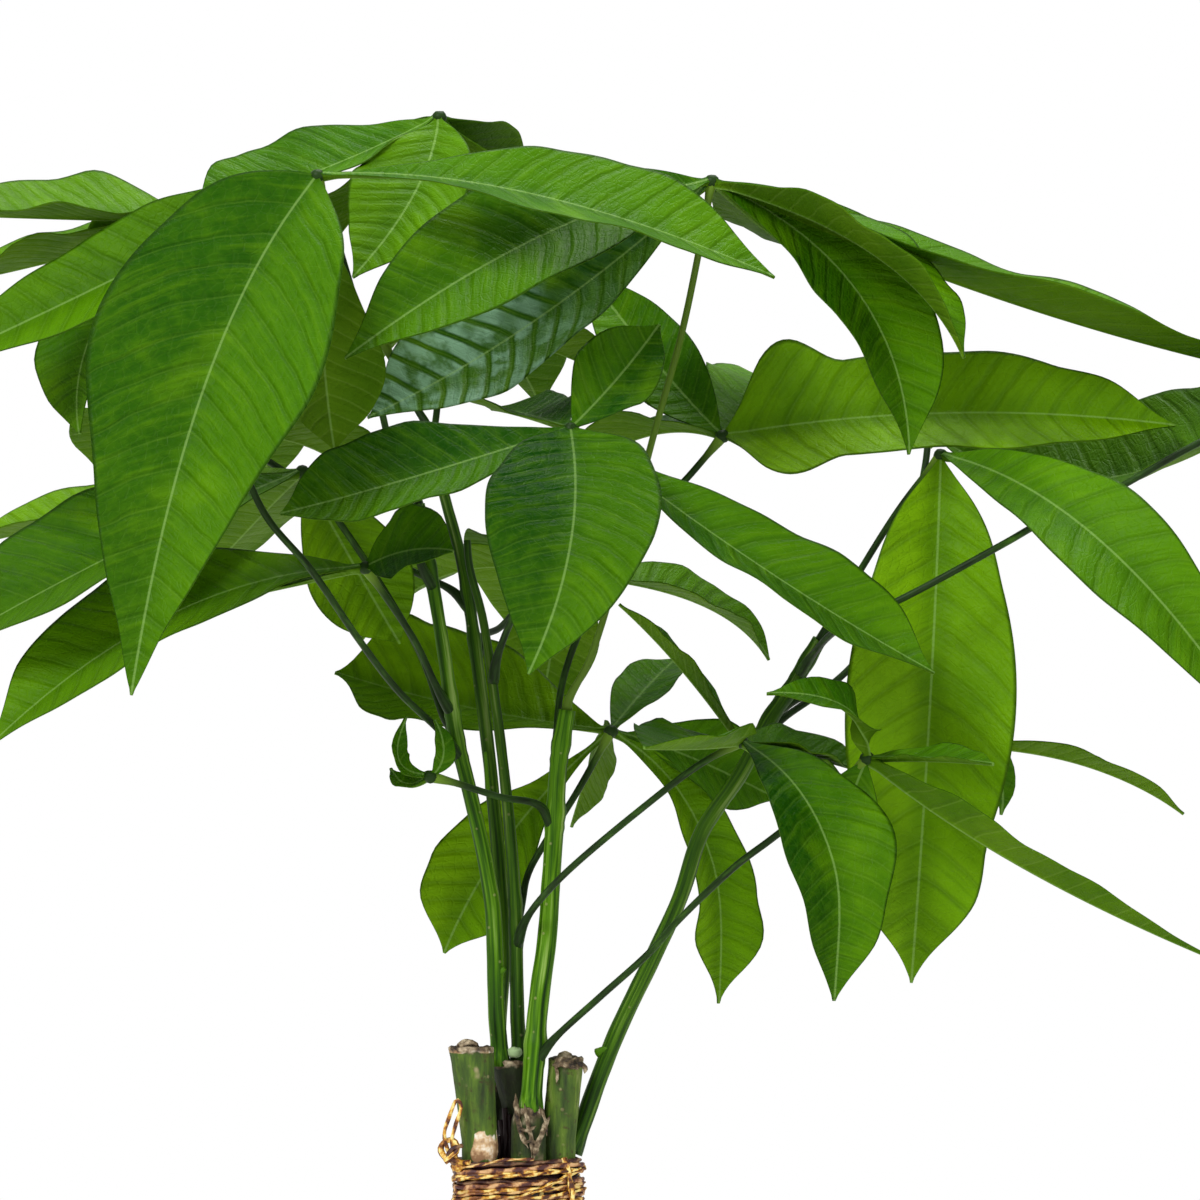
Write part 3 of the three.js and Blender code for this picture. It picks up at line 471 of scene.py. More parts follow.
# dry crusts on the cut tops and strips of torn bark: points of each strip, its width and thickness
barkShreds = {
    "trunk_left": [
        ([(-13.9, -12.8, 308.2), (-12.6, -13.6, 309.4), (-10.8, -13.4, 309.9), (-8.8, -12.6, 308.7)],
         1.7, 1.1),
        ([(-14.6, -11.0, 308.4), (-12.2, -12.0, 310.0), (-10.0, -11.4, 309.6)], 1.6, 1.2),
    ],
    "trunk_right": [
        ([(9.4, -4.2, 303.9), (11.6, -5.6, 304.6), (14.2, -5.2, 304.2), (16.4, -3.2, 303.6)], 2.8, 1.0),
        ([(10.4, -1.6, 305.6), (12.4, -2.4, 306.3), (14.6, -1.4, 305.8)], 2.4, 1.0),
        ([(15.4, -4.6, 304.6), (17.5, -4.4, 303.2), (17.4, -4.0, 301.8)], 1.3, 1.1),
        ([(10.0, -5.2, 304.2), (10.6, -5.8, 301.8), (10.4, -5.8, 299.6)], 1.0, 0.6),
    ],
    "trunk_middle_front": [
        ([(0.2, -8.4, 297.0), (0.6, -9.3, 292.0), (1.6, -9.9, 287.0), (3.4, -10.4, 283.4)], 1.5, 0.7),
        ([(2.4, -9.6, 294.6), (3.4, -10.2, 289.0), (4.4, -10.7, 284.0), (4.2, -10.7, 280.8)], 1.2, 0.6),
        ([(8.8, -8.2, 291.5), (7.0, -9.8, 287.4), (5.2, -10.8, 283.0), (4.9, -10.9, 280.6)], 1.5, 0.8),
        ([(6.0, -9.6, 294.0), (7.6, -9.6, 290.4), (8.0, -9.4, 286.4)], 0.9, 0.5),
        ([(0.8, -9.2, 288.6), (3.0, -10.6, 287.8), (5.4, -10.7, 289.0)], 1.0, 0.6),
        ([(2.0, -10.2, 284.6), (4.0, -11.0, 285.2), (6.4, -10.6, 284.4)], 0.9, 0.6),
    ],
}


def addBarkShreds(form, trunkName):
    for seed, (line, wide, thick) in enumerate(barkShreds.get(trunkName, [])):
        curve, length = evenly(throughPoints(line), 0.5)
        flat = thick / wide

        def shape(t, angle):
            ends = smooth(t * 5) * smooth((1 - t) * 5) * 0.85 + 0.15
            lump = noise.noise(Vector((t * length * 0.7, math.cos(angle) * 1.4 + seed, math.sin(angle))))
            return math.hypot(math.cos(angle), flat * math.sin(angle)) * ends * (1 + 0.5 * lump)

        points = rodRows(curve, lambda t: wide / 2, trunkSkin["shredSides"], shape)
        # painted as bark from the top of the trunk, dried all over
        form.add(points, tubeFaces(len(curve), trunkSkin["shredSides"]), 0,
                 [(300, 0, 0)] * len(points), [(0, 0, 1)] * len(points))


for strand, (trunkName, top) in enumerate(trunkTops.items()):
    form = Form()
    cut = Vector(top["cut"])
    heights = []
    z = plait["foot"]
    while z < cut.z - 0.4:
        heights.append(z)
        z += plait["step"]
    centres = []
    for z in heights + [cut.z]:
        u = min(max((plait["top"] - z) / (plait["top"] - plait["bottom"]), 0), 1)
        radius = mix(plait["radiusTop"], plait["radiusBottom"], u)
        middle = plaitPoint(strand, z)
        if z > plait["tieEnd"]:
            share = (z - plait["tieEnd"]) / (cut.z - plait["tieEnd"])
            middle = plaitPoint(strand, plait["tieEnd"]).lerp(cut, share)
            radius = mix(plait["radiusTop"], top["radius"], share)
        centres.append((middle, radius))
    points, marks, tones = [], [], []
    for (across, up, _), (middle, radius) in zip(carried([c[0] for c in centres]), centres):
        level = smooth((middle.z - cut.z + trunkSkin["level"]) / trunkSkin["level"])  # the cut is level
        for turn in turns(plait["sides"]):
            way = across * math.cos(turn) + up * math.sin(turn)
            way = way.lerp(Vector((way.x, way.y, 0)).normalized(), level)
            x, y = math.cos(turn), math.sin(turn)
            lump = noise.noise(Vector((x * 0.9 + strand * 3, y * 0.9, middle.z * 0.045)))
            fine = noise.noise(Vector((x * 2.4, y * 2.4 + strand * 5, middle.z * 0.35)))
            swell = 1 + trunkSkin["lump"] * lump + trunkSkin["fine"] * fine
            for ring in trunkSkin["ringScars"]:  # lower down each trunk, no two at one height
                here = ring + trunkSkin["ringShift"] * strand % trunkSkin["ringSpan"]
                swell += trunkSkin["ringSwell"] * math.exp(-((middle.z - here) / trunkSkin["ringWide"]) ** 2)
            lipShare = smooth((middle.z - cut.z + trunkSkin["lipDeep"]) / trunkSkin["lipDeep"])
            swell += top["lip"] * lipShare * (1 + 1.4 * fine)
            spot = middle + way * radius * swell
            healed = 0.0
            if "scar" in top and way.y < 0:  # where a side shoot was cut away
                x, z, wideX, wideZ = top["scar"]
                away = math.hypot((spot.x - x) / wideX, (spot.z - z) / wideZ)
                healed = smooth(1.6 - away * (1.1 + 0.8 * fine))
                spot += way * trunkSkin["scarRise"] * healed * (1 + fine)
            # painted shade: trunks in shade among the others darken upward from just below the top of the tie
            shade = top.get("paintedShade", 0) * smooth((spot.z - trunkSkin["shadeFrom"]) / trunkSkin["shadeOver"])
            if "rim" in top:  # a pale callus has closed over the edge of the cut
                closed = smooth((spot.z - cut.z + trunkSkin["rimDeep"] + 1.5 * fine) / 0.7)
                healed = max(healed, top["rim"] * closed)
            torn = top.get("shred", 0)
            torn = smooth((spot.z - cut.z + torn + torn * fine + 2 * lump) / 2) if torn else 0
            points.append(spot)
            marks.append((middle.z, cut.z - middle.z, 0))
            tones.append((healed, shade, torn))
    # the cut face: a dry rim, a slight hollow and the pith
    rim = points[-plait["sides"]:]
    for share, drop in trunkSkin["capRows"]:
        for turn, edge in zip(turns(plait["sides"]), rim):
            rough = 0.5 * noise.noise(Vector((turn * 2.1, share * 6, strand * 4)))
            points.append(cut + (edge - cut) * share + Vector((0, 0, -drop + rough)))
            marks.append((cut.z, 0, 1 - share))
            tones.append((0, top.get("paintedShade", 0) * 0.7, 0))
    faces = tubeFaces(len(centres) + len(trunkSkin["capRows"]), plait["sides"])
    form.add(points, faces, 0, marks, tones)
    addBarkShreds(form, trunkName)
    addPiece(trunkName + "_fine", form, [trunkBark], trunkName)
print("trunks made")


# raffia: dried palm fibre, split and twisted by hand; golden with painted highlights where it catches light,
# and red-brown to near black with painted shade between the strands
def raffiaMaterial():
    material, tree, shader = newMaterial("twistedRaffia", Roughness=0.5, IOR=1.5)
    marks = addNode(tree, "Attribute", attribute_name="marks").outputs["Vector"]
    run, turn, shadeCore = addNode(tree, "SeparateXYZ", marks).outputs
    place = addNode(tree, "TexCoord").outputs["Object"]
    # fibres wind round the strand once in 6 mm
    twist = addNode(tree, "Math", turn, 5, operation="MULTIPLY")
    twist = addNode(tree, "Math", run, 2 * math.pi / 6, twist, operation="MULTIPLY_ADD")
    twist = addNode(tree, "Math", twist, operation="SINE")
    fuzz = addNode(tree, "TexNoise", place, patternScale(1.4), 3, 0.55)
    stained = addNode(tree, "TexNoise", place, patternScale(9), 2, 0.55)
    fibre = addNode(tree, "Math", twist, 0.18, fuzz, operation="MULTIPLY_ADD")
    # the fibres' own gold and brown, with painted highlights on the ridges of the twist and painted shade in
    # its hollows
    skin = addNode(tree, "ValToRGB", fibre, stops=[
        (0.34, "#4a1f08"), (0.46, "#a4661a"), (0.56, "#dba63c"), (0.68, "#f8e08c")])
    # painted shade: a shaded copy of the fibres, laid where a strand lies in shade, near black deepest
    # between the strands
    shaded = addNode(tree, "ValToRGB", fibre, stops=[(0.36, "#4a2020"), (0.52, "#94603e"), (0.68, "#d6a678")])
    skin = layCoats(tree, skin, [
        (stained, 0.55, 0.7, 0, 0.6, "#8a4f17"), (shadeCore, 0.1, 0.5, 0, 1, shaded),
        (shadeCore, 0.6, 0.95, 0, 1, "#240b10")])
    bump = addNode(tree, "Bump", Strength=0.7, Distance=0.4 * millimetre, Height=fibre)
    setInputs(shader, Base_Color=skin, Normal=bump)
    return material


twistedRaffia = raffiaMaterial()
tie = {
    "bottom": 259, "top": 281, "radius": 0.8, "gap": 0.35, "sides": 10, "step": 0.8, "spin": 13,
    "around": 144, "ringStep": 0.9, "shadeCore": (0.1, 0.55), "shadeCoreLow": 0.4, "shadeCoreHigh": 0.9, "shadeCoreSides": 96,
    "crossSteps": 40,
}
# loose windings: distance out, pitch, first height, thickness, how far they wander, how much painted shade
windings = [
    (0.5, 2.3, 0.4, 0.7, 0.5, 0.8), (1.2, 3.7, 0.2, 0.8, 0.8, 0), (1.4, 3.7, 1.7, 0.72, 1.0, 0.42),
    (1.9, 5.4, 2.8, 0.5, 1.3, 0.05), (1.8, 7.2, 1.2, 0.42, 1.6, 0.3),
]
# strands that cross back over the others, one at the front and one at the back: where they start round
# the tie, how far they go, their first and last height, and a seed
crossings = [(0.55, 0.42, 262, 278, 7), (0.05, 0.38, 276, 263, 9)]
# ends of strands tucked in between the trunks, near black with painted shade: x, y and top
tucked = [
    (-3.6, 1.4, 290), (-2.6, 0.6, 293), (-1.6, 0.9, 291.4), (-0.7, 0.4, 288.5),
    (-2.1, 2.2, 289), (-4.2, 0.2, 286), (7.6, -1.2, 287), (8.5, -0.6, 284.6),
]
# the loop of two thin strands on the left, the curled knot under it in two, and two loose ends:
# the points of each, its thickness, its seed, how flat it is and how much painted shade it has
looseStrands = [
    ([(-14.2, -12.4, 278), (-16.6, -13.2, 283), (-17.5, -13.8, 287), (-16.4, -14.4, 291), (-14.3, -15, 295.6),
      (-13.3, -15, 294.2), (-14.8, -14.2, 289), (-15.6, -13.6, 285), (-13.6, -12.6, 279)], 0.55, 2, 0.8, 0),
    ([(-12, -12, 279.4), (-14.4, -13.6, 280.4), (-17.2, -13.8, 281.2), (-18.4, -13.2, 283.4),
      (-17.2, -13, 285.4), (-15, -13.4, 285.2), (-14.2, -13.8, 283.2), (-15.6, -14.4, 281.6),
      (-17.4, -14.2, 280.2)], 0.85, 5, 0.7, 0),
    ([(-13, -13.4, 284.2), (-15.4, -14.6, 283.6), (-16.6, -14.2, 281.4), (-14.6, -13.2, 279.2)],
     0.6, 6, 0.8, 0.8),
    ([(12.2, -5.6, 280.8), (13.6, -6.2, 276), (14.2, -6.6, 272), (13.9, -6.8, 264), (14.4, -7.2, 254)],
     0.9, 3, 0.62, 0),
    ([(8, -8.6, 275), (6, -9.2, 270), (7, -9.4, 262), (9, -9.2, 256), (10.5, -9.6, 251)], 0.7, 8, 0.62, 0),
]


# a line round the trunks, so far out from the outermost of them
def tieRing(distance):
    spots = []
    for angle in turns(tie["around"]):
        away = Vector((math.cos(angle), math.sin(angle), 0))
        middles = [plaitPoint(s, tie["top"]) for s in range(len(trunkTops))]
        best = max([p + away * (plait["radiusTop"] + distance) for p in middles], key=lambda p: p.dot(away))
        spots.append(Vector((best.x, best.y, 0)))
    ring, _ = evenly(spots + [spots[0]], tie["ringStep"])
    return ring[:-1]


# one raffia strand along a line: flattened, twisted and a little uneven
def strandForm(form, line, radius, seed=0, flat=0.62, paintedShade=0):
    curve, length = evenly(line, tie["step"])

    def shape(t, angle):
        spin = t * length * 2 * math.pi / tie["spin"] + seed
        wide = math.sqrt((math.cos(angle - spin)) ** 2 + (flat * math.sin(angle - spin)) ** 2)
        lump = noise.noise(Vector((t * length * 0.4, math.cos(angle) + seed, math.sin(angle))))
        return wide * (1 + 0.1 * lump)

    points = rodRows(curve, lambda t: radius, tie["sides"], shape)
    sides = tie["sides"]
    marks = [(i * tie["step"], k / sides, paintedShade) for i in range(len(curve)) for k in range(sides)]
    form.add(points, tubeFaces(len(curve), sides), 0, marks)


form = Form()
for seed, (distance, pitch, first, radius, wander, paintedShade) in enumerate(windings):
    ring = tieRing(tie["gap"] + distance)
    line = []
    for i in range(int(len(ring) * (tie["top"] - tie["bottom"] - first - radius) / pitch)):
        drift = noise.noise(Vector((i * 0.05, seed * 3.3, 0)))
        spot = ring[i % len(ring)]
        z = min(tie["bottom"] + first + pitch * i / len(ring) + wander * drift, tie["top"] - radius * 0.7)
        line.append(Vector((spot.x, spot.y, z)) + spot.normalized() * (0.25 * drift))
    strandForm(form, line, radius, seed, paintedShade=paintedShade)
outer = tieRing(tie["gap"] + tie["radius"] * 2.3)
for startShare, spanShare, low, high, seed in crossings:
    line = []
    for i in range(tie["crossSteps"]):
        t = i / (tie["crossSteps"] - 1)
        spot = outer[int((startShare + spanShare * t) * len(outer)) % len(outer)]
        line.append(Vector((spot.x, spot.y, mix(low, high, t))))
    strandForm(form, line, tie["radius"] * 0.8, seed)
# a dark sheet of painted shade that shows between the strands
inner, outerShadeCore = [tieRing(distance) for distance in tie["shadeCore"]]
count = min(len(inner), len(outerShadeCore), tie["shadeCoreSides"])
low, high = tie["bottom"] + tie["shadeCoreLow"], tie["top"] - tie["shadeCoreHigh"]
points = []
for ringNow, z in ((inner, low), (outerShadeCore, low), (outerShadeCore, high), (inner, high)):
    spots = [ringNow[int(i * len(ringNow) / count)] for i in range(count)]
    points += [Vector((spot.x, spot.y, z)) for spot in spots]
faces = []
for a, b in ((0, 1), (1, 2), (2, 3), (3, 0)):
    for i in range(count):
        n = (i + 1) % count
        faces.append((a * count + i, a * count + n, b * count + n, b * count + i))
form.add(points, faces, 0, [(0, 0, 1)] * len(points))
for seed, (x, y, top) in enumerate(tucked):
    line = throughPoints([(x - 0.4, y, 277), (x + 0.3, y - 0.3, (277 + top) / 2), (x, y + 0.2, top)])
    strandForm(form, line, 0.75, seed, 0.8, 0.94)
for line, radius, seed, flat, paintedShade in looseStrands:
    strandForm(form, throughPoints(line), radius, seed, flat, paintedShade)
addKnob(form, (-14.2, -12.7, 279), 1.5, squash=(1.1, 0.9, 0.9), seed=3, rough=0.3, rings=8, sides=14)
addPiece("tie_fine", form, [twistedRaffia], "tie")
print("tie made")


# potting soil: peat and composted bark, crumbly, matt, with pale grit here and there
def soilMaterial():
    material, tree, shader = newMaterial("crumblyPeat", Roughness=0.95, IOR=1.4)
    place = addNode(tree, "TexCoord").outputs["Object"]
    lumps = addNode(tree, "TexNoise", place, patternScale(4), 5, 0.65)
    crumbs = addNode(tree, "TexNoise", place, patternScale(1.6), 6, 0.7)
    grit = addNode(tree, "TexVoronoi", place, patternScale(4.5))
    skin = addNode(tree, "ValToRGB", lumps, stops=[
        (0.3, "#120b06"), (0.5, "#33231a"), (0.68, "#543d2b"), (0.8, "#75604a")])
    skin = layCoats(tree, skin, [(grit, 0.1, 0.16, 0.75, 0, "#cfc5b4")])
    bump = addNode(tree, "Bump", Strength=1.0, Distance=1.2 * millimetre, Height=crumbs)
    setInputs(shader, Base_Color=skin, Normal=bump)
    return material


crumblyPeat = soilMaterial()
soil = {
    "edge": 90, "crown": 95, "floor": 8, "rings": 34, "around": 120, "crumbs": 420, "seed": 11, "heap": 1.2,
    "heapWide": 5, "waist": 60, "lump": 1.5, "crumb": 0.9,
}
pot = {
    "height": 106, "baseRadius": 44, "topRadius": 60, "rimRadius": 62.5, "rimDrop": 14, "wall": 3.5,
    "floor": 5,
    "drainRadius": 4, "drainRing": 24, "drains": 3, "drainSides": 32, "around": 160, "footRing": 8,
    "footRecess": 0.6, "footRound": 1.5, "rimUnder": 1.6, "rimRound": 1.75, "lipRound": 1.4, "sharp": 40,
}


def potRadius(z):
    return pot["baseRadius"] + (pot["topRadius"] - pot["baseRadius"]) * z / pot["height"]


# height of the soil: domed, heaped a little at each trunk, and lumpy
def soilTop(x, y):
    away = math.hypot(x, y)
    wide = potRadius(soil["edge"]) - pot["wall"]
    base = mix(soil["crown"] - 0.8, soil["edge"] - 1, smooth((away / wide - 0.3) / 0.7))
    near = min((Vector((x, y)) - plaitPoint(s, plait["bottom"]).xy).length for s in range(len(trunkTops)))
    heap = soil["heap"] * math.exp(-(max(near - plait["radiusBottom"], 0) / soil["heapWide"]) ** 2)
    lump = soil["lump"] * noise.noise(Vector((x * 0.09, y * 0.09, 1)))
    return base + heap + (lump + soil["crumb"] * noise.noise(Vector((x * 0.3, y * 0.3, 5))))


form = Form()
points = [(0, 0, soilTop(0, 0))]
wide = potRadius(soil["edge"]) - pot["wall"] - 0.5
for i in range(1, soil["rings"] + 1):
    r = wide * i / soil["rings"]
    for turn in turns(soil["around"]):
        x, y = r * math.cos(turn), r * math.sin(turn)
        points.append((x, y, soilTop(x, y) if i < soil["rings"] else soil["edge"] - 3))
for z in (soil["waist"], soil["floor"]):
    r = potRadius(z) - pot["wall"] - 1
    points += [(r * math.cos(turn), r * math.sin(turn), z) for turn in turns(soil["around"])]
points.append((0, 0, soil["floor"]))
# turned from the top down, so each face runs the other way round
form.add(points, [(f[0], *reversed(f[1:])) for f in turnedFaces(soil["rings"] + 2, soil["around"])])
dice = random.Random(soil["seed"])
for i in range(soil["crumbs"]):
    r, turn = wide * 0.96 * math.sqrt(dice.random()), dice.random() * 2 * math.pi
    x, y = r * math.cos(turn), r * math.sin(turn)
    size = dice.uniform(0.7, 1.5) if dice.random() < 0.8 else dice.uniform(1.6, 2.6)
    squash = (dice.uniform(0.8, 1.3), dice.uniform(0.8, 1.3), dice.uniform(0.5, 0.9))
    addKnob(form, (x, y, soilTop(x, y) + size * 0.2), size, 0, squash, i, 0.5, 5, 8)
addPiece("soil_fine", form, [crumblyPeat], "soil")
print("soil made")


# pot: stoneware under a cream satin glaze, thrown and dipped; the glaze stops short of the bare foot
def potMaterial():
    material, tree, shader = newMaterial("creamGlaze", Roughness=0.34, IOR=1.52, Coat_Weight=0.25,
                                         Coat_Roughness=0.2)
    place = addNode(tree, "TexCoord").outputs["Object"]
    _, _, high = addNode(tree, "SeparateXYZ", place).outputs
    pool, dips, sand, pores = [
        addNode(tree, "TexNoise", place, patternScale(size), detail, 0.55) for size, detail in (
            (40, 3), (16, 2), (1.5, 4), (2, 2))]
    skin = addNode(tree, "ValToRGB", pool, stops=[(0.35, "#d5ccb8"), (0.55, "#ddd5c3"), (0.7, "#e3dccc")])
    clay = addNode(tree, "ValToRGB", sand, stops=[(0.3, "#a8845c"), (0.7, "#c9a67c")])
    # iron specks, a third of a millimetre in the real clay, drawn at 0.7 mm
    specks = addNode(tree, "TexVoronoi", place, patternScale(4.2))
    uneven = addNode(tree, "Math", dips, 2 * millimetre, high, operation="MULTIPLY_ADD")
    glazeEnd = (3.2 * millimetre, 3.8 * millimetre)
    skin = layCoats(tree, skin, [(specks, 0.06, 0.12, 0.55, 0, "#8a7350"), (uneven, *glazeEnd, 1, 0, clay)])
    bare = addNode(tree, "MapRange", uneven, *glazeEnd, 1, 0, interpolation_type="SMOOTHSTEP")
    rough = addNode(tree, "MapRange", pool, 0.3, 0.7, 0.3, 0.4, interpolation_type="SMOOTHSTEP")
    rough = addNode(tree, "Math", bare, 0.45, rough, operation="MULTIPLY_ADD")
    # throwing rings, a few tenths of a millimetre deep under the glaze
    rings = addNode(tree, "Mapping", place, Scale=(0.12, 0.12, 2.4))
    rings = addNode(tree, "TexNoise", rings, patternScale(9), 2, 0.5)
    height = addNode(tree, "Math", pores, 0.15, rings, operation="MULTIPLY_ADD")
    bump = addNode(tree, "Bump", Strength=0.25, Distance=0.5 * millimetre, Height=height)
    setInputs(shader, Base_Color=skin, Roughness=rough, Normal=bump)
    return material


creamGlaze = potMaterial()


# points of an arc in the turned profile: its middle and radius, and its first and last angle in degrees
def arc(r, z, radius, start, end, steps):
    angles = [math.radians(mix(start, end, i / steps)) for i in range(steps + 1)]
    return [(r + radius * math.cos(angle), z + radius * math.sin(angle)) for angle in angles]


rimFoot = pot["height"] - pot["rimDrop"]
wallTop = pot["topRadius"] - pot["wall"]
floorEdge = potRadius(pot["floor"]) - pot["wall"]
footRound, rimUnder, rimRound, lipRound = pot["footRound"], pot["rimUnder"], pot["rimRound"], pot["lipRound"]
# from the foot ring up the outside, round the rolled rim and down the inside
profile = [
    (pot["baseRadius"] - pot["footRing"] - 4, pot["footRecess"]), (pot["baseRadius"] - pot["footRing"], 0.0),
    *arc(pot["baseRadius"] - footRound, footRound, footRound, -90, -10, 5),
    *[(potRadius(z), z) for z in (8, 20, 40, 60, 80)],
    (potRadius(rimFoot - 2), rimFoot - 2), (potRadius(rimFoot) + 0.4, rimFoot - 0.4),
    *arc(pot["rimRadius"] - rimUnder, rimFoot + 1.9, rimUnder, -60, 0, 4),
    *arc(pot["rimRadius"] - rimRound, pot["height"] - rimRound, rimRound, 0, 90, 6),
    *arc(wallTop + lipRound, pot["height"] - lipRound, lipRound, 90, 180, 5),
    (wallTop - 0.4, pot["height"] - 12), (mix(floorEdge, wallTop, 0.5), 52), (floorEdge, pot["floor"] + 2),
    (floorEdge - 2, pot["floor"]),
]
points = [(0, 0, pot["footRecess"])]
for r, z in profile:
    points += [(r * math.cos(turn), r * math.sin(turn), z) for turn in turns(pot["around"])]
points.append((0, 0, pot["floor"]))
form = Form()
form.add(points, turnedFaces(len(profile), pot["around"]))
potPiece = addPiece("pot_fine", form, [creamGlaze], "pot")
for i in range(pot["drains"]):
    angle = 2 * math.pi * (i + 0.5) / pot["drains"]
    middle = Vector((pot["drainRing"] * math.cos(angle), pot["drainRing"] * math.sin(angle), 0))
    drillLine = [middle + Vector((0, 0, z)) for z in (-5, 0, 5, 10)]
    drill = rodRows(drillLine, lambda t: pot["drainRadius"], pot["drainSides"])
    mesh = bpy.data.meshes.new("drill")
    mesh.from_pydata([tuple(c * millimetre for c in p) for p in drill], [],
                     tubeFaces(len(drillLine), pot["drainSides"]))
    cutter = bpy.data.objects.new("drill", mesh)
    bpy.context.scene.collection.objects.link(cutter)
    cut = potPiece.modifiers.new("drain", "BOOLEAN")
    cut.operation, cut.object, cut.solver = "DIFFERENCE", cutter, "EXACT"
    bpy.context.view_layer.update()
    bored = bpy.data.meshes.new_from_object(potPiece.evaluated_get(bpy.context.evaluated_depsgraph_get()))
    potPiece.modifiers.remove(cut)
    potPiece.data = bored
    bpy.data.objects.remove(cutter)
potPiece.data.name = "pot_fine"
potPiece.data.set_sharp_from_angle(angle=math.radians(pot["sharp"]))
print("pot made")


veins = {"slant": 0.5, "arch": 0.012, "spacing": 0.066}
waxyLeaf = leafMaterial()
greenStalk = stalkMaterial()
greenShootBark = shootMaterial()

bladeForm = {
    "rootHalf": 0.9, "tipHalf": 0.35, "belly": 1.05, "taper": 0.9, "fold": 20, "wave": 1.1, "waves": 2.5,
    "stations": (0, 0.1, 0.28, 0.5, 0.72, 0.9, 1), "hookFrom": 0.6, "dripTip": 0.25,
    "fullWave": 30, "sink": 0.6, "thick": 0.55, "edgeThick": 0.3, "ribRise": 0.25, "ribDrop": 0.8,
    "ribWide": 0.5,
    "pucker": 0.32, "step": 1.7, "leastRows": 16, "leastSpacing": 4.2, "crowding": 0.3, "tipFrom": 0.84,
    "tipOver": 0.14, "smallWave": 0.25, "smallWaves": 5, "neck": 0.8, "neckOver": 0.05, "puckerWide": 20,
    "columns": (0, 0.035, 0.08, 0.16, 0.28, 0.42, 0.56, 0.7, 0.84, 0.94, 1),
}


# how much wider or narrower than usual a blade is at a share of its length
def lobeAt(lobes, u):
    shares = (1, *lobes, 1)
    k = max(i for i, at in enumerate(bladeForm["stations"][:-1]) if u >= at)
    a, b = bladeForm["stations"][k:k + 2]
    return mix(shares[k], shares[k + 1], smooth((u - a) / (b - a)))


# one leaflet: a strip of rows from the hub to the tip, with an upper and a lower skin
def addBlade(form, hub, blade, order, tone):
    f = bladeForm
    usual = (f["belly"], (1, 1, 1, 1, 1), 0)  # belly, lobes and hook where a blade gives none
    bow, tip, wide, face, belly, lobes, hook = (*blade, *usual[len(blade) - 4:])
    hub, bow, tip, face = Vector(hub), Vector(bow), Vector(tip), Vector(face)
    root = hub.lerp(bow, f["sink"] / (bow - hub).length)
    pull = bow * 2 - hub * 0.5 - tip * 0.5
    length = (bow - root).length + (tip - bow).length
    count = max(int(length / f["step"]), f["leastRows"])
    spacing = max(f["leastSpacing"], length * veins["spacing"])
    fold = math.radians(f["fold"])
    calm = min(1, wide / f["fullWave"])
    vs = [-v for v in reversed(f["columns"][1:])] + list(f["columns"])
    points, marks, tones = [], [], []
    run, before = 0.0, None
    for i in range(count + 1):
        t = i / count
        u = mix(t, 0.5 - 0.5 * math.cos(math.pi * t), f["crowding"])
        middle = root * (1 - u) ** 2 + pull * (2 * u * (1 - u)) + tip * (u * u)
        along = ((pull - root) * (1 - u) + (tip - pull) * u).normalized()
        side = along.cross(face).normalized()
        up = side.cross(along).normalized()
        run += (middle - before).length if before else 0
        before = middle
        middle += side * (hook * smooth((u - f["hookFrom"]) / (1 - f["hookFrom"])))
        swell = max(math.sin(math.pi * u ** belly), 0) ** f["taper"]
        swell *= lobeAt(lobes, u) * (1 - f["dripTip"] * smooth((u - f["tipFrom"]) / f["tipOver"]))
        half = max(wide / 2 * swell, mix(f["rootHalf"], f["tipHalf"], u))
        share = half / (wide / 2)
        rows = []
        for v in vs:
            hand = (v > 0) - (v < 0)
            a = abs(v)
            out = a * half
            ripple = f["wave"] * calm * share * math.sin(2 * math.pi * f["waves"] * u + order + hand)
            small = math.sin(2 * math.pi * (f["smallWaves"] + order % 3) * u + 2 * order - 1.7 * hand)
            small *= f["smallWave"] * calm * share
            rise = half * math.sin(fold) * a ** 1.2 + ripple * a ** 1.6 + small * a ** 3
            phase = (run - veins["slant"] * out - veins["arch"] * out * out) / spacing
            hill = (0.5 - 0.5 * math.cos(2 * math.pi * phase)) ** 0.6
            pucker = f["pucker"] * min(half / f["puckerWide"], 1)
            rise += pucker * hill * math.sin(math.pi * min(a, 0.98)) ** 0.7
            ribHere = math.exp(-(out / f["ribWide"]) ** 2) * (1 - 0.75 * u)
            thick = mix(f["thick"], f["edgeThick"], a ** 2) / 2
            thick = mix(f["neck"], thick, smooth(u / f["neckOver"]))
            base = middle + side * (v * half * math.cos(fold))
            rows.append((base + up * (rise + thick + f["ribRise"] * ribHere),
                         base + up * (rise - thick - f["ribDrop"] * ribHere), (run, v * half, a)))
        points += [r[0] for r in rows] + [r[1] for r in rows]
        marks += [r[2] for r in rows] * 2
        tones += [(tone, 0, spacing)] * len(rows) + [(tone, 1, spacing)] * len(rows)
    w = len(vs)
    faces = []
    for i in range(count):
        a, b = i * 2 * w, (i + 1) * 2 * w
        for k in range(w - 1):
            faces.append((a + k, a + k + 1, b + k + 1, b + k))
            faces.append((a + w + k + 1, a + w + k, b + w + k, b + w + k + 1))
        faces.append((a, b, b + w, a + w))
        faces.append((a + w - 1, a + 2 * w - 1, b + 2 * w - 1, b + w - 1))
    for k in range(w - 1):
        faces.append((k, w + k, w + k + 1, k + 1))
        e = count * 2 * w
        faces.append((e + k + 1, e + w + k + 1, e + w + k, e + k))
    form.add(points, faces, 0, marks, tones)


